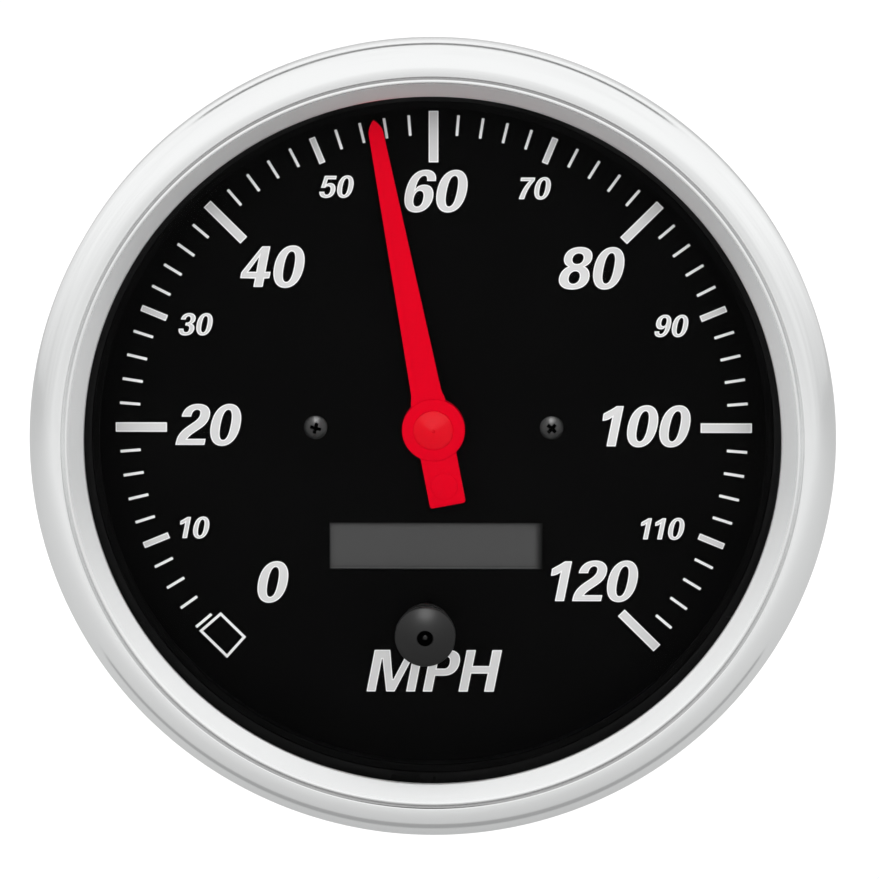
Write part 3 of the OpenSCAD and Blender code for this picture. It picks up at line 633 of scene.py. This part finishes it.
ticks = []
for speed in range(2, 121, 2):
    if speed % 10:
        tick = tick_at(speed, scale_r - 0.6, 3.5, 0.47)
        tick.data.materials.append(tick_ink)
    else:
        inset, length, width = (0.5, 4.7, 1.1) if speed % 20 else (0, 8.8, 1.66)
        tick = tick_at(speed, scale_r - inset, length, width)
        print_outlined(tick)
    ticks.append(tick)
scale_ticks = join_pieces("scale_ticks_printed", ticks)
thicken(scale_ticks, print_height)
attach(scale_ticks, "housing")
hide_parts("dial_ticks")

# %% [markdown]
# The box at zero is an outline alone. Its two long sides run towards the dial's centre, so it is a
# little wider outside than inside.


# %% Box at zero
def zero_box_path(inset):
    """The four sides of the box, moved inwards by inset."""
    inner, outer = scale_r - 5.65 + inset, scale_r - 0.65 - inset
    spread = math.tan(math.radians(3.6))
    half_in, half_out = inner * spread - inset, outer * spread - inset
    corners = [(inner, -half_in), (outer, -half_out), (outer, half_out), (inner, half_in)]
    return polygon_path(corners)


zero_box = fill_outlines(
    "zero_box_printed",
    [zero_box_path(0), zero_box_path(0.45)],
    dial_front + print_height,
    turned(scale_turn(0)),
)
thicken(zero_box, print_height)
zero_box.data.materials.append(white_ink)
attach(zero_box, "housing")
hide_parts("zero_box")
print("zero box", [round(v / MM, 1) for v in zero_box.dimensions])

# %% [markdown]
# The numbers are a humanist sans, slanted by 11 degrees. No font from outside the script is used,
# so each digit is drawn once as outlines, upright and one unit high, and then slanted, scaled and
# set in place. The width of each digit stands before its outlines.

# %% Digits and letters
slant = 0.195
glyphs = {
    "0": (
        0.732,
        """M .366 -.024 C .585 -.024 .732 .17 .732 .5 C .732 .83 .585 1.024 .366 1.024
        C .147 1.024 0 .83 0 .5 C 0 .17 .147 -.024 .366 -.024""",
        """M .366 .128 C .29 .128 .244 .24 .244 .5 C .244 .76 .29 .872 .366 .872
        C .442 .872 .488 .76 .488 .5 C .488 .24 .442 .128 .366 .128""",
    ),
    "1": (
        0.463,
        """M .233 0 L .463 0 L .463 1 L .285 1 C .2 .93 .1 .875 0 .81 L .012 .63
        C .1 .635 .17 .66 .233 .715 L .233 0""",
    ),
    "2": (
        0.719,
        """M 0 0 L .716 0 L .719 .155 L .27 .155 C .32 .25 .43 .32 .53 .4
        C .66 .5 .715 .6 .715 .735 C .715 .91 .58 1.022 .375 1.022
        C .16 1.022 .025 .9 .022 .7 L .262 .7 C .262 .81 .305 .872 .372 .872
        C .43 .872 .466 .835 .466 .77 C .466 .68 .41 .615 .31 .54 C .17 .43 .03 .33 .005 .13
        L 0 0""",
    ),
    "3": (
        0.725,
        """M 0 .3 L .235 .3 C .24 .19 .28 .135 .36 .135 C .44 .135 .48 .19 .48 .285
        C .48 .39 .42 .44 .32 .44 L .27 .44 L .27 .58 L .32 .58 C .41 .58 .46 .63 .46 .725
        C .46 .81 .42 .865 .36 .865 C .29 .865 .255 .81 .25 .715 L .02 .715
        C .025 .9 .15 1.024 .36 1.024 C .56 1.024 .7 .91 .7 .745 C .7 .64 .65 .56 .57 .52
        C .67 .48 .725 .4 .725 .28 C .725 .09 .58 -.024 .36 -.024 C .13 -.024 0 .1 0 .3""",
    ),
    "4": (
        0.715,
        """M .36 0 L .592 0 L .592 .213 L .715 .213 L .715 .375 L .592 .375 L .592 1 L .388 1
        L 0 .36 L 0 .213 L .36 .213 L .36 0""",
        "M .36 .375 L .36 .72 L .175 .375 L .36 .375",
    ),
    "5": (
        0.72,
        """M 0 .27 L .235 .27 C .25 .18 .29 .135 .355 .135 C .44 .135 .485 .2 .485 .33
        C .485 .45 .44 .51 .36 .51 C .3 .51 .26 .49 .235 .44 L .03 .44 L .11 1 L .66 1
        L .66 .83 L .29 .83 L .26 .62 C .31 .655 .36 .67 .42 .67 C .6 .67 .72 .54 .72 .33
        C .72 .11 .58 -.024 .35 -.024 C .13 -.024 .01 .09 0 .27""",
    ),
    "6": (
        0.704,
        """M .352 -.024 C .56 -.024 .704 .13 .704 .34 C .704 .54 .6 .66 .43 .66
        C .34 .66 .28 .63 .238 .565 C .245 .76 .3 .872 .39 .872 C .44 .872 .47 .83 .472 .745
        L .692 .745 C .695 .92 .58 1.024 .395 1.024 C .13 1.024 0 .8 0 .44
        C 0 .14 .13 -.024 .352 -.024""",
        """M .35 .125 C .285 .125 .238 .19 .238 .315 C .238 .44 .285 .505 .35 .505
        C .42 .505 .464 .44 .464 .315 C .464 .19 .42 .125 .35 .125""",
    ),
    "7": (
        0.66,
        """M 0 1 L .66 1 L .66 .85 C .5 .66 .39 .38 .35 0 L .09 0 C .13 .34 .23 .6 .4 .83
        L 0 .83 L 0 1""",
    ),
    "8": (
        0.74,
        """M .37 -.024 C .6 -.024 .74 .09 .74 .262 C .74 .39 .68 .49 .575 .54
        C .67 .59 .715 .66 .715 .755 C .715 .92 .58 1.024 .37 1.024
        C .16 1.024 .025 .92 .025 .755 C .025 .66 .07 .59 .165 .54 C .06 .49 0 .39 0 .262
        C 0 .09 .14 -.024 .37 -.024""",
        """M .37 .122 C .295 .122 .24 .18 .24 .272 C .24 .365 .295 .425 .37 .425
        C .445 .425 .5 .365 .5 .272 C .5 .18 .445 .122 .37 .122""",
        """M .37 .606 C .295 .606 .24 .655 .24 .735 C .24 .815 .295 .862 .37 .862
        C .445 .862 .5 .815 .5 .735 C .5 .655 .445 .606 .37 .606""",
    ),
    "M": (
        1.143,
        """M 0 0 L .217 0 L .217 .78 L .226 .78 L .4615 0 L .664 0 L .917 .78 L .927 .78
        L .927 0 L 1.143 0 L 1.143 1 L .8 1 L .575 .3 L .562 .3 L .37 1 L 0 1 L 0 0""",
    ),
    "P": (
        0.738,
        """M 0 0 L .224 0 L .224 .38 L .42 .38 C .62 .38 .738 .5 .738 .695
        C .738 .89 .62 1 .42 1 L 0 1 L 0 0""",
        """M .224 .555 L .4 .555 C .465 .555 .5 .61 .5 .695 C .5 .78 .465 .835 .4 .835
        L .224 .835 L .224 .555""",
    ),
    "H": (
        0.832,
        """M 0 0 L .22 0 L .22 .434 L .6 .434 L .6 0 L .832 0 L .832 1 L .6 1 L .6 .618
        L .22 .618 L .22 1 L 0 1 L 0 0""",
    ),
}
print(len(glyphs), "glyphs drawn")

# %% [markdown]
# A nine is a six that is turned upside down. Each number is set digit by digit, with a wider gap
# after a one, and then moved so that its middle lies on its place on the dial. The places and the
# two heights are read off the dial. Of a glyph's two layers the grey one lies a little higher, so
# that it covers the white one.


# %% Numbers on the scale
def set_glyph(glyph, left, to_place):
    """The two layers of one glyph, slanted, its left foot at that distance along the line."""
    flipped = glyph == "9"
    width, *outlines = glyphs["6" if flipped else glyph]

    def place(x, y):
        if flipped:
            x, y = width - x, 1 - y
        return to_place(left + x + slant * y, y)

    layers = []
    for shrink, lift, ink in ((0.02, 0.002, white_ink), (outline_w, 0.02, grey_ink)):
        height = dial_front + print_height + lift
        layer = fill_outlines("glyph_" + glyph, outlines, height, place, shrink)
        layer.data.materials.append(ink)
        layers.append(layer)
    return layers


def set_word(word, middle, height, gaps):
    """A number or word whose middle is at that place, in mm, its capitals that high."""
    lefts, width = [], 0
    for glyph, gap in zip(word, gaps):
        lefts.append(width)
        width += glyphs["6" if glyph == "9" else glyph][0] + gap
    width += slant - gaps[-1]

    def to_place(x, y):
        return middle[0] + (x - width / 2) * height, middle[1] + (y - 0.5) * height

    return [layer for glyph, left in zip(word, lefts) for layer in set_glyph(glyph, left, to_place)]


number_places = {
    0: (-27.8, -27.15),
    10: (-41.35, -17.6),
    20: (-38.5, 0.4),
    30: (-40.75, 17.9),
    40: (-27.45, 27.9),
    50: (-16.5, 41.7),
    60: (0.45, 40.95),
    70: (17.25, 41.45),
    80: (27.15, 27.7),
    90: (40.8, 17.75),
    100: (36.4, 0.3),
    110: (39.4, -17.65),
    120: (27.6, -26.9),
}
large, small = 7.05, 3.75
parts = []
for speed, middle in number_places.items():
    word = str(speed)
    gaps = [0.19 if glyph == "1" else 0.055 for glyph in word]
    parts += set_word(word, middle, small if speed % 20 else large, gaps)
numbers = join_pieces("scale_numbers", parts)
thicken(numbers, print_height)
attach(numbers, "housing")

# %% [markdown]
# The word is set like the numbers, a little larger, and each letter has its own gap.

# %% The word under the display
word_parts = set_word("MPH", (0.1, -42.8), 7.4, [0.175, 0.1, 0])
unit_word = join_pieces("scale_unit", word_parts)
thicken(unit_word, print_height)
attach(unit_word, "housing")
print("word", [round(v / MM, 1) for v in unit_word.dimensions])

# %% [markdown]
# ## Pointer
# The pointer is one moulding in red plastic: a blade that ends in a short pointed arch, a short
# broad tail and a round hub. The blade is a flat outline with a thickness and a small bevel, and
# the hub is spun.

# %% Pointer moulding
pointer_red = grained_finish("moulded_red_abs", "#A20013", "#9D0011", 0, 0.5, 0.3, 0.006, 0.02)
shown_speed = 55.2
pointer_turn = scale_turn(shown_speed) - math.pi / 2
arch = [(1.25, 52.1), (1.17, 52.55), (0.98, 53.05), (0.7, 53.55), (0.4, 53.98), (0.16, 54.23)]
tip = arch + [(0, 54.3)] + [(-x, y) for x, y in reversed(arch)]
tail_corners = arc(-2.65, -12.95, 0.45, 180, 270, 4) + arc(2.65, -12.95, 0.45, 270, 360, 4)
neck_left = [(-2.55, 8.2), (-2.62, 6.4), (-2.95, 5.2), (-3.1, 3.5), (-3.1, -3.5)]
outline = tip + neck_left + tail_corners + [(-x, y) for x, y in reversed(neck_left)]
hub_back, hub_front = dial_front + 1.1, dial_front + 3
blade = fill_outlines(
    "pointer_blade_part", [polygon_path(outline)], hub_front - 0.3, turned(pointer_turn)
)
thicken(blade, 1)
modify(blade, "BEVEL", width=0.18 * MM, segments=3, limit_method="ANGLE", angle_limit=edge_angle)
hub = spin_section(
    "pointer_hub_part",
    [(0, hub_back), (5.3, hub_back), (5.42, hub_back + 0.12)]
    + arc(5.24, hub_front - 0.18, 0.18, 0, 90, 4)
    + [(0, hub_front)],
    steps=96,
)
pointer = join_pieces("pointer_moulding", [blade, hub])
smooth(pointer, 35)
pointer.data.materials.append(pointer_red)
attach(pointer, "pointer")
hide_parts("pointer_blade")

# %% [markdown]
# A cap in the shape of a shallow cone is pressed on the hub. It is polished, so a lamp above the
# camera draws a fan on it. Its crown has the small pip hole that its mould leaves.

# %% Pointer cap
cap = spin_section(
    "pointer_cap_cone",
    [(0, hub_front - 0.12), (3.38, hub_front - 0.12), (3.45, hub_front - 0.05), (3.45, hub_front)]
    + [(3.38, hub_front + 0.1), (3.2, hub_front + 0.18), (2.2, hub_front + 0.42)]
    + [(1.2, hub_front + 0.66), (0.6, hub_front + 0.8), (0.36, hub_front + 0.85)]
    + [(0.28, hub_front + 0.84), (0.2, hub_front + 0.62), (0, hub_front + 0.58)],
    steps=72,
)
cap.data.materials.append(
    grained_finish("polished_red_abs", "#A20010", "#9D000E", 0, 0.14, 0.5, 0.004, 0.11)
)
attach(cap, "pointer")
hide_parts("pointer_cap")

# %% [markdown]
# The balance weight is a round slug that is pressed into the tail and painted with it, so only its
# fine edge shows.

# %% Balance weight
weight_place = turned(pointer_turn)(0, -10)
weight_front = hub_front - 0.15
weight = spin_section(
    "pointer_weight_painted",
    [(0, weight_front - 2), (2.2, weight_front - 2), (2.3, weight_front - 1.9)]
    + arc(2.2, weight_front - 0.1, 0.1, 0, 90, 3)
    + [(0, weight_front)],
    centre=weight_place,
    steps=64,
)
weight.data.materials.append(pointer_red)
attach(weight, "pointer")
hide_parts("pointer_weight")

# %% [markdown]
# ## Trip button
# The button is a moulded black cap with a domed face, and a small deep hole in its middle shows
# the end of the stem as a dark grey dot. A spun section gives the dome, the rim and the hole. The
# walls of the hole get a painted shade, a flat black without gloss.


# %% Trip button cap
def dome_radius(rim, rise):
    """Radius of the sphere that has that rise over a rim of that radius."""
    return (rim**2 + rise**2) / (2 * rise)


def dome_section(top, sphere, outer, inner, steps):
    """The section of a dome between two distances from its axis."""
    ends = [90 - math.degrees(math.asin(r / sphere)) for r in (outer, inner)]
    return arc(0, top - sphere, sphere, *ends, steps)


button_place = (-1.2, -32.8)
button_top = 12
nub_r, hole_r = 0.5, 1.3
hole_floor, hole_top = 10, 11.75
button = spin_section(
    "trip_button_cap",
    [(0, 8.9), (4.85, 8.9), (5.05, 8.95), (5.15, 9.1), (5.15, 10.2), (5.08, 10.34)]
    + dome_section(button_top, dome_radius(5.15, 1.7), 4.9, 1.45, 16)
    + [(1.36, 11.78), (1.27, 11.68), (1.2, 11.3), (1.15, 10.6), (0.55, 10.55)]
    + [(0.45, 10.85), (0.3, 10.95), (0, 10.95)],
    centre=button_place,
    steps=96,
)
button.data.materials.append(
    grained_finish("black_phenolic", "#080808", "#050505", 0, 0.37, 0.3, 0.008, 0.42)
)
# Painted shade for the walls of the button's hole and, below, for the screws' cross recess.
painted_hole_shade = grained_finish("painted_shade_in_holes", "#030303", "#010101", 0, 0.9, 0.3, 0.008, 0)
button.data.materials.append(painted_hole_shade)
for face in button.data.polygons:
    middle = face.center / MM
    from_axis = math.hypot(middle.x - button_place[0], middle.z - button_place[1])
    if nub_r < from_axis < hole_r and hole_floor < -middle.y < hole_top:
        face.material_index = 1
print(sum(f.material_index for f in button.data.polygons), "faces in the hole")
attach(button, "button")
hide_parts("button_cap")

# %% [markdown]
# ## Dial screws
# Two small pan head screws in black oxide hold the dial. The head is spun, and the wide cross
# recess is cut with a tapered cross, as the punch does it. The recess gets a painted shade, a flat
# black without gloss that the cutter hands on to it.

# %% Dial screws
black_oxide = grained_finish("black_oxide_steel", "#0C0C0C", "#080808", 0, 0.32, 0.2, 0.006, 0.9)
head_top = dial_front + 1.1
head = spin_section(
    "screw_head",
    [(0, dial_front), (1.95, dial_front), (2.03, dial_front + 0.08), (2.03, dial_front + 0.35)]
    + dome_section(head_top, dome_radius(2.03, 0.75), 1.98, 0, 10),
    steps=64,
)
head.data.materials.append(black_oxide)
print("screw head", round(head.dimensions.x / MM, 2), "mm across")


def cross_cutter(turn):
    """A wedge that narrows towards its bottom, for one bar of the cross."""
    bpy.ops.mesh.primitive_cube_add(size=1)
    bar = bpy.context.object
    # The cutter hands the painted shade on to the faces of the recess that it cuts.
    bar.data.materials.append(painted_hole_shade)
    bar.scale = (2.7 * MM, 1.6 * MM, 0.85 * MM)
    bar.location = point(0, 0, head_top)
    bar.rotation_euler.y = turn
    bpy.ops.object.transform_apply(location=True, rotation=True, scale=True)
    with editing(bar):
        bpy.ops.mesh.select_all(action="DESELECT")
    for face in bar.data.polygons:
        face.select = face.normal.y > 0.9
    bpy.ops.object.mode_set(mode="EDIT")
    bpy.ops.transform.resize(value=(0.5, 1, 0.5), center_override=point(0, 0, dial_front + 0.3))
    bpy.ops.object.mode_set(mode="OBJECT")
    return bar


for turn in (0, math.pi / 2):
    bar = cross_cutter(turn)
    modify(head, "BOOLEAN", object=bar, solver="EXACT", material_mode="TRANSFER")
    bpy.data.objects.remove(bar)
smooth(head, 30)
print([slot.name for slot in head.data.materials], "on the screw head")

# %% [markdown]
# A part that occurs twice is modelled once at the middle and copied to its places. The copies are
# then joined, and the first model is removed. Each screw is turned as far as it was driven.


# %% Both dial screws
def placed_copies(piece, places):
    """Copies of a piece, each moved sideways by mm and turned by degrees, in its stead."""
    copies = []
    for x, turn in places:
        copy = piece.copy()
        copy.data = piece.data.copy()
        bpy.context.scene.collection.objects.link(copy)
        copy.location = point(x, 0, 0)
        copy.rotation_euler.y = math.radians(turn)
        select_only(copy)
        bpy.ops.object.transform_apply(location=True, rotation=True, scale=False)
        copies.append(copy)
    bpy.data.objects.remove(piece)
    return copies


screw_x = 20.3
screws = placed_copies(head, ((-screw_x, 15), (screw_x, 42)))
dial_screws = join_pieces("dial_screws_pan_head", screws)
smooth(dial_screws, 30)
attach(dial_screws, "housing")
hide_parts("dial_screws")

# %% [markdown]
# ## Studs
# The two studs behind the case are threaded rods on welded plates. A number 10-32 thread has a
# pitch of 0.794 mm. Its ridge is one small section that the screw modifier carries round the rod
# and along it, and the rod itself is spun with a chamfered end.

# %% Threaded studs
stud_x = 32
pitch = 0.794
core_r, crest_r = 1.85, 2.4
ridge_section = [(core_r, -56.2), (crest_r, -56.54), (crest_r, -56.65), (core_r, -56.98)]
ridge = draw_section("thread_ridge", ridge_section, (0, 0), True)
bpy.ops.mesh.remove_doubles(threshold=1e-6)
bpy.ops.object.mode_set(mode="OBJECT")
helix = {"axis": "Y", "screw_offset": pitch * MM, "iterations": 37}
modify(ridge, "SCREW", **helix, steps=24, render_steps=24)
with editing(ridge):
    bpy.ops.mesh.fill_holes(sides=0)
    bpy.ops.mesh.normals_make_consistent(inside=False)
rod = spin_section(
    "stud_rod",
    [(0, -54.1), (5.8, -54.1), (6, -54.3), (6, -55.3), (5.8, -55.5), (crest_r, -55.5)]
    + [(crest_r, -56.3), (1.93, -56.7), (1.93, -86), (1.5, -86.5), (0, -86.5)],
    steps=48,
)
stud = join_pieces("stud", [rod, ridge])
studs = placed_copies(stud, ((-stud_x, 0), (stud_x, 0)))
threaded_studs = join_pieces("studs_threaded", studs)
smooth(threaded_studs, 25)
threaded_studs.data.materials.append(zinc_steel)
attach(threaded_studs, "housing")
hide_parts("mounting_studs")

# %% [markdown]
# ## Clamp bracket
# The bracket is one strip of steel, 25 mm wide and 2 mm thick, bent twice over a rounded bar. Its
# middle line is drawn and extruded to the strip's width, the corners of its feet are rounded, and
# then it gets its thickness, the two holes and the slightly broken edges that stamping leaves.

# %% Bent strip
strip_thick, strip_wide = 2, 25
half_span, feet, bridge = 65.2, -10, -71
bend = 3 + strip_thick / 2
half_line = [(half_span, feet)] + arc(half_span - bend, bridge + bend, bend, 0, -90, 8)
line = half_line + [(-x, h) for x, h in reversed(half_line)]
bracket = draw_section("clamp_bracket_bent", line, (0, -strip_wide / 2), False)
bpy.ops.mesh.extrude_region_move(TRANSFORM_OT_translate={"value": (0, 0, strip_wide * MM)})
bpy.ops.mesh.select_all(action="DESELECT")
bpy.ops.object.mode_set(mode="OBJECT")
for corner in bracket.data.vertices:
    corner.select = corner.co.y < (0.01 - feet) * MM
bpy.ops.object.mode_set(mode="EDIT")
bpy.ops.mesh.bevel(offset=4 * MM, segments=6, affect="VERTICES")
bpy.ops.mesh.select_all(action="SELECT")
bpy.ops.mesh.normals_make_consistent(inside=False)
bpy.ops.object.mode_set(mode="OBJECT")
modify(bracket, "SOLIDIFY", thickness=strip_thick * MM, offset=0)
print("bracket", [round(v / MM, 1) for v in bracket.dimensions], "mm")

# %% [markdown]
# The two holes for the studs are drilled with a cylinder and a boolean modifier. Then a narrow
# bevel breaks all the edges at once.

# %% Holes and edges of the bracket
for x in (-stud_x, stud_x):
    bpy.ops.mesh.primitive_cylinder_add(
        vertices=48,
        radius=2.9 * MM,
        depth=10 * MM,
        location=point(x, 0, bridge),
        rotation=(math.pi / 2, 0, 0),
    )
    drill = bpy.context.object
    modify(bracket, "BOOLEAN", object=drill, solver="EXACT")
    bpy.data.objects.remove(drill)
modify(bracket, "BEVEL", width=0.22 * MM, segments=2, limit_method="ANGLE", angle_limit=edge_angle)
smooth(bracket, 35)
bracket_steel = grained_finish("zinc_plated_strip", "#BFC2C4", "#ABAFB3", 1, 0.36, 0.35, 0.008)
bracket.data.materials.append(bracket_steel)
print(len(bracket.data.polygons), "faces on the bracket")
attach(bracket, "bracket")
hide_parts("clamp_bracket")

# %% [markdown]
# ## Glass
# A plate of float glass with two parallel faces bends no line behind it, so it is drawn as clear,
# with a mirror on it whose share follows Fresnel's law. The front face stands for both, so it
# mirrors about twice as much as one. A ray inside the plate leaves it freely: it was not bent on
# its way in, so the law would wrongly keep a slanting one inside. The photograph shows no tent in
# the glass, as with a dark card in front of it, so the camera gets only a small part of that
# mirror.

# %% Clear float glass
glass_index, face_count, camera_share = 1.52, 2.1, 0.02
clear_glass, tree, place = new_finish("clear_float_glass")
waves = bump(tree, noise(tree, place, 30, 1), 0.05, 0.01 * MM)
mirror = add(tree, "BsdfGlossy", {"Roughness": 0.02, "Normal": waves}).outputs[0]
clear = add(tree, "BsdfTransparent").outputs[0]
one_face = add(tree, "Fresnel", {"IOR": glass_index, "Normal": waves}).outputs[0]
both_faces = maths(tree, "MULTIPLY", one_face, face_count, clamp=True)
rays = add(tree, "LightPath").outputs
seen = maths(tree, "MULTIPLY_ADD", rays["Is Camera Ray"], camera_share, rays["Is Glossy Ray"])
outside = maths(tree, "SUBTRACT", 1, add(tree, "NewGeometry").outputs["Backfacing"])
entering = maths(tree, "MULTIPLY", both_faces, outside)
share = maths(tree, "MULTIPLY", entering, seen)
to_surface(tree, "MixShader", {0: share, 1: clear, 2: mirror})
print("glass", clear_glass.name)

# %% [markdown]
# ## Display
# The liquid crystal cell is off, so its window is an even grey. The right end turns darker over
# the last millimetre and a half. A painted shade darkens the top of the window below its edge, and
# along its bottom lie a thin bright line and a thin dark line.

# %% Display cell
window_bottom, window_top = -24.9 * MM, -16.7 * MM
darkening_start, darkening_end = 17.1 * MM, 18.7 * MM
display_grey, tree, place = new_finish("liquid_crystal_grey")
axes = add(tree, "SeparateXYZ", {0: place}).outputs
field = mix_colours(tree, noise(tree, place, 90), "#4A4A4A", "#505050")
height = remap(tree, axes["Z"], (window_bottom, window_top))
lines = add(tree, "ValToRGB", {0: height})
stops = lines.color_ramp.elements
# The stops give a bright and a dark line at the bottom, and at the top a painted shade under the
# window's edge.
stops[0].position, stops[1].position = 0.025, 0.99
stops[0].color, stops[1].color = white, (0.4, 0.4, 0.4, 1)
for position, tone in ((0.045, 0.5), (0.075, 0.78), (0.92, 0.8)):
    stops.new(position).color = (tone, tone, tone, 1)
multiply = {"data_type": "RGBA", "blend_type": "MULTIPLY", 0: 1.0}
lined = add(tree, "Mix", {**multiply, 6: field, 7: lines.outputs[0]}).outputs[2]
right_darkening = remap(tree, axes["X"], (darkening_start, darkening_end), ease=True)
darkening_colour = {"data_type": "RGBA", 7: linear("#161616")}
darkened = add(tree, "Mix", {**darkening_colour, 0: right_darkening, 6: lined}).outputs[2]
settings = {"Roughness": 0.35, "Specular IOR Level": 0.1, "Base Color": darkened}
to_surface(tree, "BsdfPrincipled", settings)
print("display", display_grey.name)

# %% [markdown]
# ## Dial plate and the pieces behind it
# The dial is aluminium sheet with a sprayed satin black. The spray leaves a grain of about
# 0.15 mm, and the black is deep, so its specular level is low. Behind it come plated steel,
# moulded nylon, turned brass, a green board with its chips, and a ferrite magnet.

# %% Finishes of the other nodes
dial_black = grained_finish("sprayed_satin_black", "#060606", "#030303", 0, 0.5, 0.15, 0.006, 0.02)
movement_steel = grained_finish("nickel_plated_steel", "#B8B6AE", "#A6A49C", 1, 0.28, 0.3, 0.004)
dark_moulding = grained_finish("moulded_dark_nylon", "#2C3132", "#242829", 0, 0.5, 0.3, 0.01)
ivory_moulding = grained_finish("moulded_natural_nylon", "#D9D2BC", "#CFC7AE", 0, 0.45, 0.3, 0.01)
brass = grained_finish("turned_brass", "#C9A552", "#B8933F", 1, 0.3, 0.2, 0.005)
board_green = grained_finish("green_solder_mask", "#1F5A35", "#1A4D2D", 0, 0.35, 0.5, 0.006)
chip_black = grained_finish("moulded_epoxy", "#26272A", "#1F2023", 0, 0.55, 0.15, 0.008)
capacitor_sleeve = grained_finish("printed_sleeve", "#27303C", "#202833", 0, 0.4, 0.4, 0.005)
case_zinc = grained_finish("zinc_plated_drawn_steel", "#B2B4B7", "#9FA2A6", 1, 0.38, 0.5, 0.008)
shaft_steel = grained_finish("ground_steel", "#C4C4C4", "#B4B4B4", 1, 0.2, 0.1, 0.003)
magnet_grey = grained_finish("sintered_ferrite", "#3B3A3C", "#302F31", 0, 0.6, 0.2, 0.015)
nut_brass = grained_finish("nickel_plated_brass", "#C6C1B4", "#B5AF9F", 1, 0.3, 0.2, 0.005)
print(len(bpy.data.materials), "materials")

# %% [markdown]
# The coils are wound from enamelled copper wire. Single wires are too fine to show, but bundles of
# them lie as ridges along the winding. A wave gives the colour and the bump, and at this scale its
# ridges are about 3 mm apart. The colour is darker where the ridges are low: a painted shade in the
# valleys between them.

# %% Copper winding
ridge_scale = 200
copper_wire, tree, place = new_finish("enamelled_copper_wire")
bands = {"wave_type": "BANDS", "bands_direction": "DIAGONAL", "Distortion": 0.4}
ridges = add(tree, "TexWave", {**bands, "Scale": ridge_scale, "Vector": place}).outputs["Fac"]
# Painted shade: the copper is darker where the ridges are low.
settings = {
    "Metallic": 0.8,
    "Roughness": 0.32,
    "Base Color": mix_colours(tree, ridges, "#7A3412", "#C06A33"),
    "Normal": bump(tree, ridges, 0.6, 0.08 * MM),
}
to_surface(tree, "BsdfPrincipled", settings)
print("winding", copper_wire.name)

# %% [markdown]
# The wedge bulbs are blown from thin, slightly warm glass, and the blowing leaves a slow ripple.

# %% Bulb glass
bulb_glass, tree, place = new_finish("blown_bulb_glass")
settings = {
    "Base Color": linear("#FFFCEE"),
    "Roughness": 0.05,
    "Transmission Weight": 0.85,
    "Normal": bump(tree, noise(tree, place, 400, 1), 0.2, 0.03 * MM),
}
to_surface(tree, "BsdfPrincipled", settings)
print("bulb", bulb_glass.name)

# %% [markdown]
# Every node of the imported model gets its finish, also those that a finer piece stands in for. The
# nodes are listed by finish.

# %% Dress the nodes
dress = (
    (bezel_finish, "bezel"),
    (rubber, "lens_gasket button_grommet"),
    (clear_glass, "lens"),
    (black_abs, "spacer_ring connector_header button_cap button_stem"),
    (black_abs, "lamp_socket_left lamp_socket_right"),
    (dial_black, "dial_plate"),
    (white_ink, "dial_ticks zero_box"),
    (black_oxide, "dial_screws"),
    (ivory_moulding, "dial_posts bobbin_upper bobbin_lower"),
    (display_grey, "lcd_glass"),
    (white_abs, "lcd_frame inner_sleeve"),
    (movement_steel, "movement_can"),
    (dark_moulding, "movement_base"),
    (brass, "movement_bush connector_pins lamp_contacts_left lamp_contacts_right"),
    (copper_wire, "coil_inner coil_outer"),
    (board_green, "circuit_board"),
    (chip_black, "microcontroller driver_chip voltage_regulator tact_switch"),
    (capacitor_sleeve, "capacitors"),
    (zinc_steel, "board_standoffs board_screws case_screws mounting_studs"),
    (zinc_steel, "stud_washers stud_nuts lock_washers"),
    (case_zinc, "case_shell"),
    (pointer_red, "pointer_blade pointer_cap pointer_weight"),
    (shaft_steel, "pointer_shaft"),
    (magnet_grey, "rotor_magnet"),
    (bracket_steel, "clamp_bracket"),
    (nut_brass, "thumb_nut_left thumb_nut_right"),
    (bulb_glass, "lamp_bulb_left lamp_bulb_right"),
)
dressed = 0
for finish, nodes in dress:
    for node in nodes.split():
        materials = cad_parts[node].data.materials
        materials.clear()
        materials.append(finish)
        dressed += 1
print(dressed, "nodes dressed of", len(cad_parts))

# %% [markdown]
# ## Highlights on the small pieces
# In the photograph the button and the screw heads are brighter at their upper side. A small lamp
# 45 degrees above gives that highlight. The pointer's cap shows a lighter fan in its upper third:
# the mirror image, in a shallow cone, of a round lamp a little above the line to the camera. That
# lamp gives no other light. A third one round the camera's lens evens out the red of the pointer,
# whose tip lies in the bezel's shade. Each lamp is linked to its pieces alone, as a photographer
# keeps it off the metal with a narrow snoot.


# %% Small lamps
def small_lamp(name, height, reach, width, watts, pieces):
    """Adds a round lamp before the hub that lights only the pieces: its place and width in m."""
    bpy.ops.object.light_add(type="AREA", location=(0, -reach, height))
    lamp = bpy.context.object
    lamp.name = name
    lamp.rotation_euler = lamp.location.to_track_quat("Z", "Y").to_euler()
    lamp.data.shape = "DISK"
    lamp.data.size = width
    lamp.data.energy = watts
    lamp.visible_camera = False
    lit = bpy.data.collections.new("lit_by_" + name)
    for piece in pieces:
        lit.objects.link(piece)
    lamp.light_linking.receiver_collection = lit
    return lamp


small_lamp("snooted_lamp", 0.5, 0.5, 0.4, 2.4, [button, dial_screws])
mirrored = small_lamp("mirrored_lamp", 0.145, 0.479, 0.5, 1, [cap])
mirrored.visible_diffuse = False
fill = small_lamp("fill_lamp", 0.15, 0.88, 0.3, 8, [pointer, cap, weight])
fill.visible_glossy = False
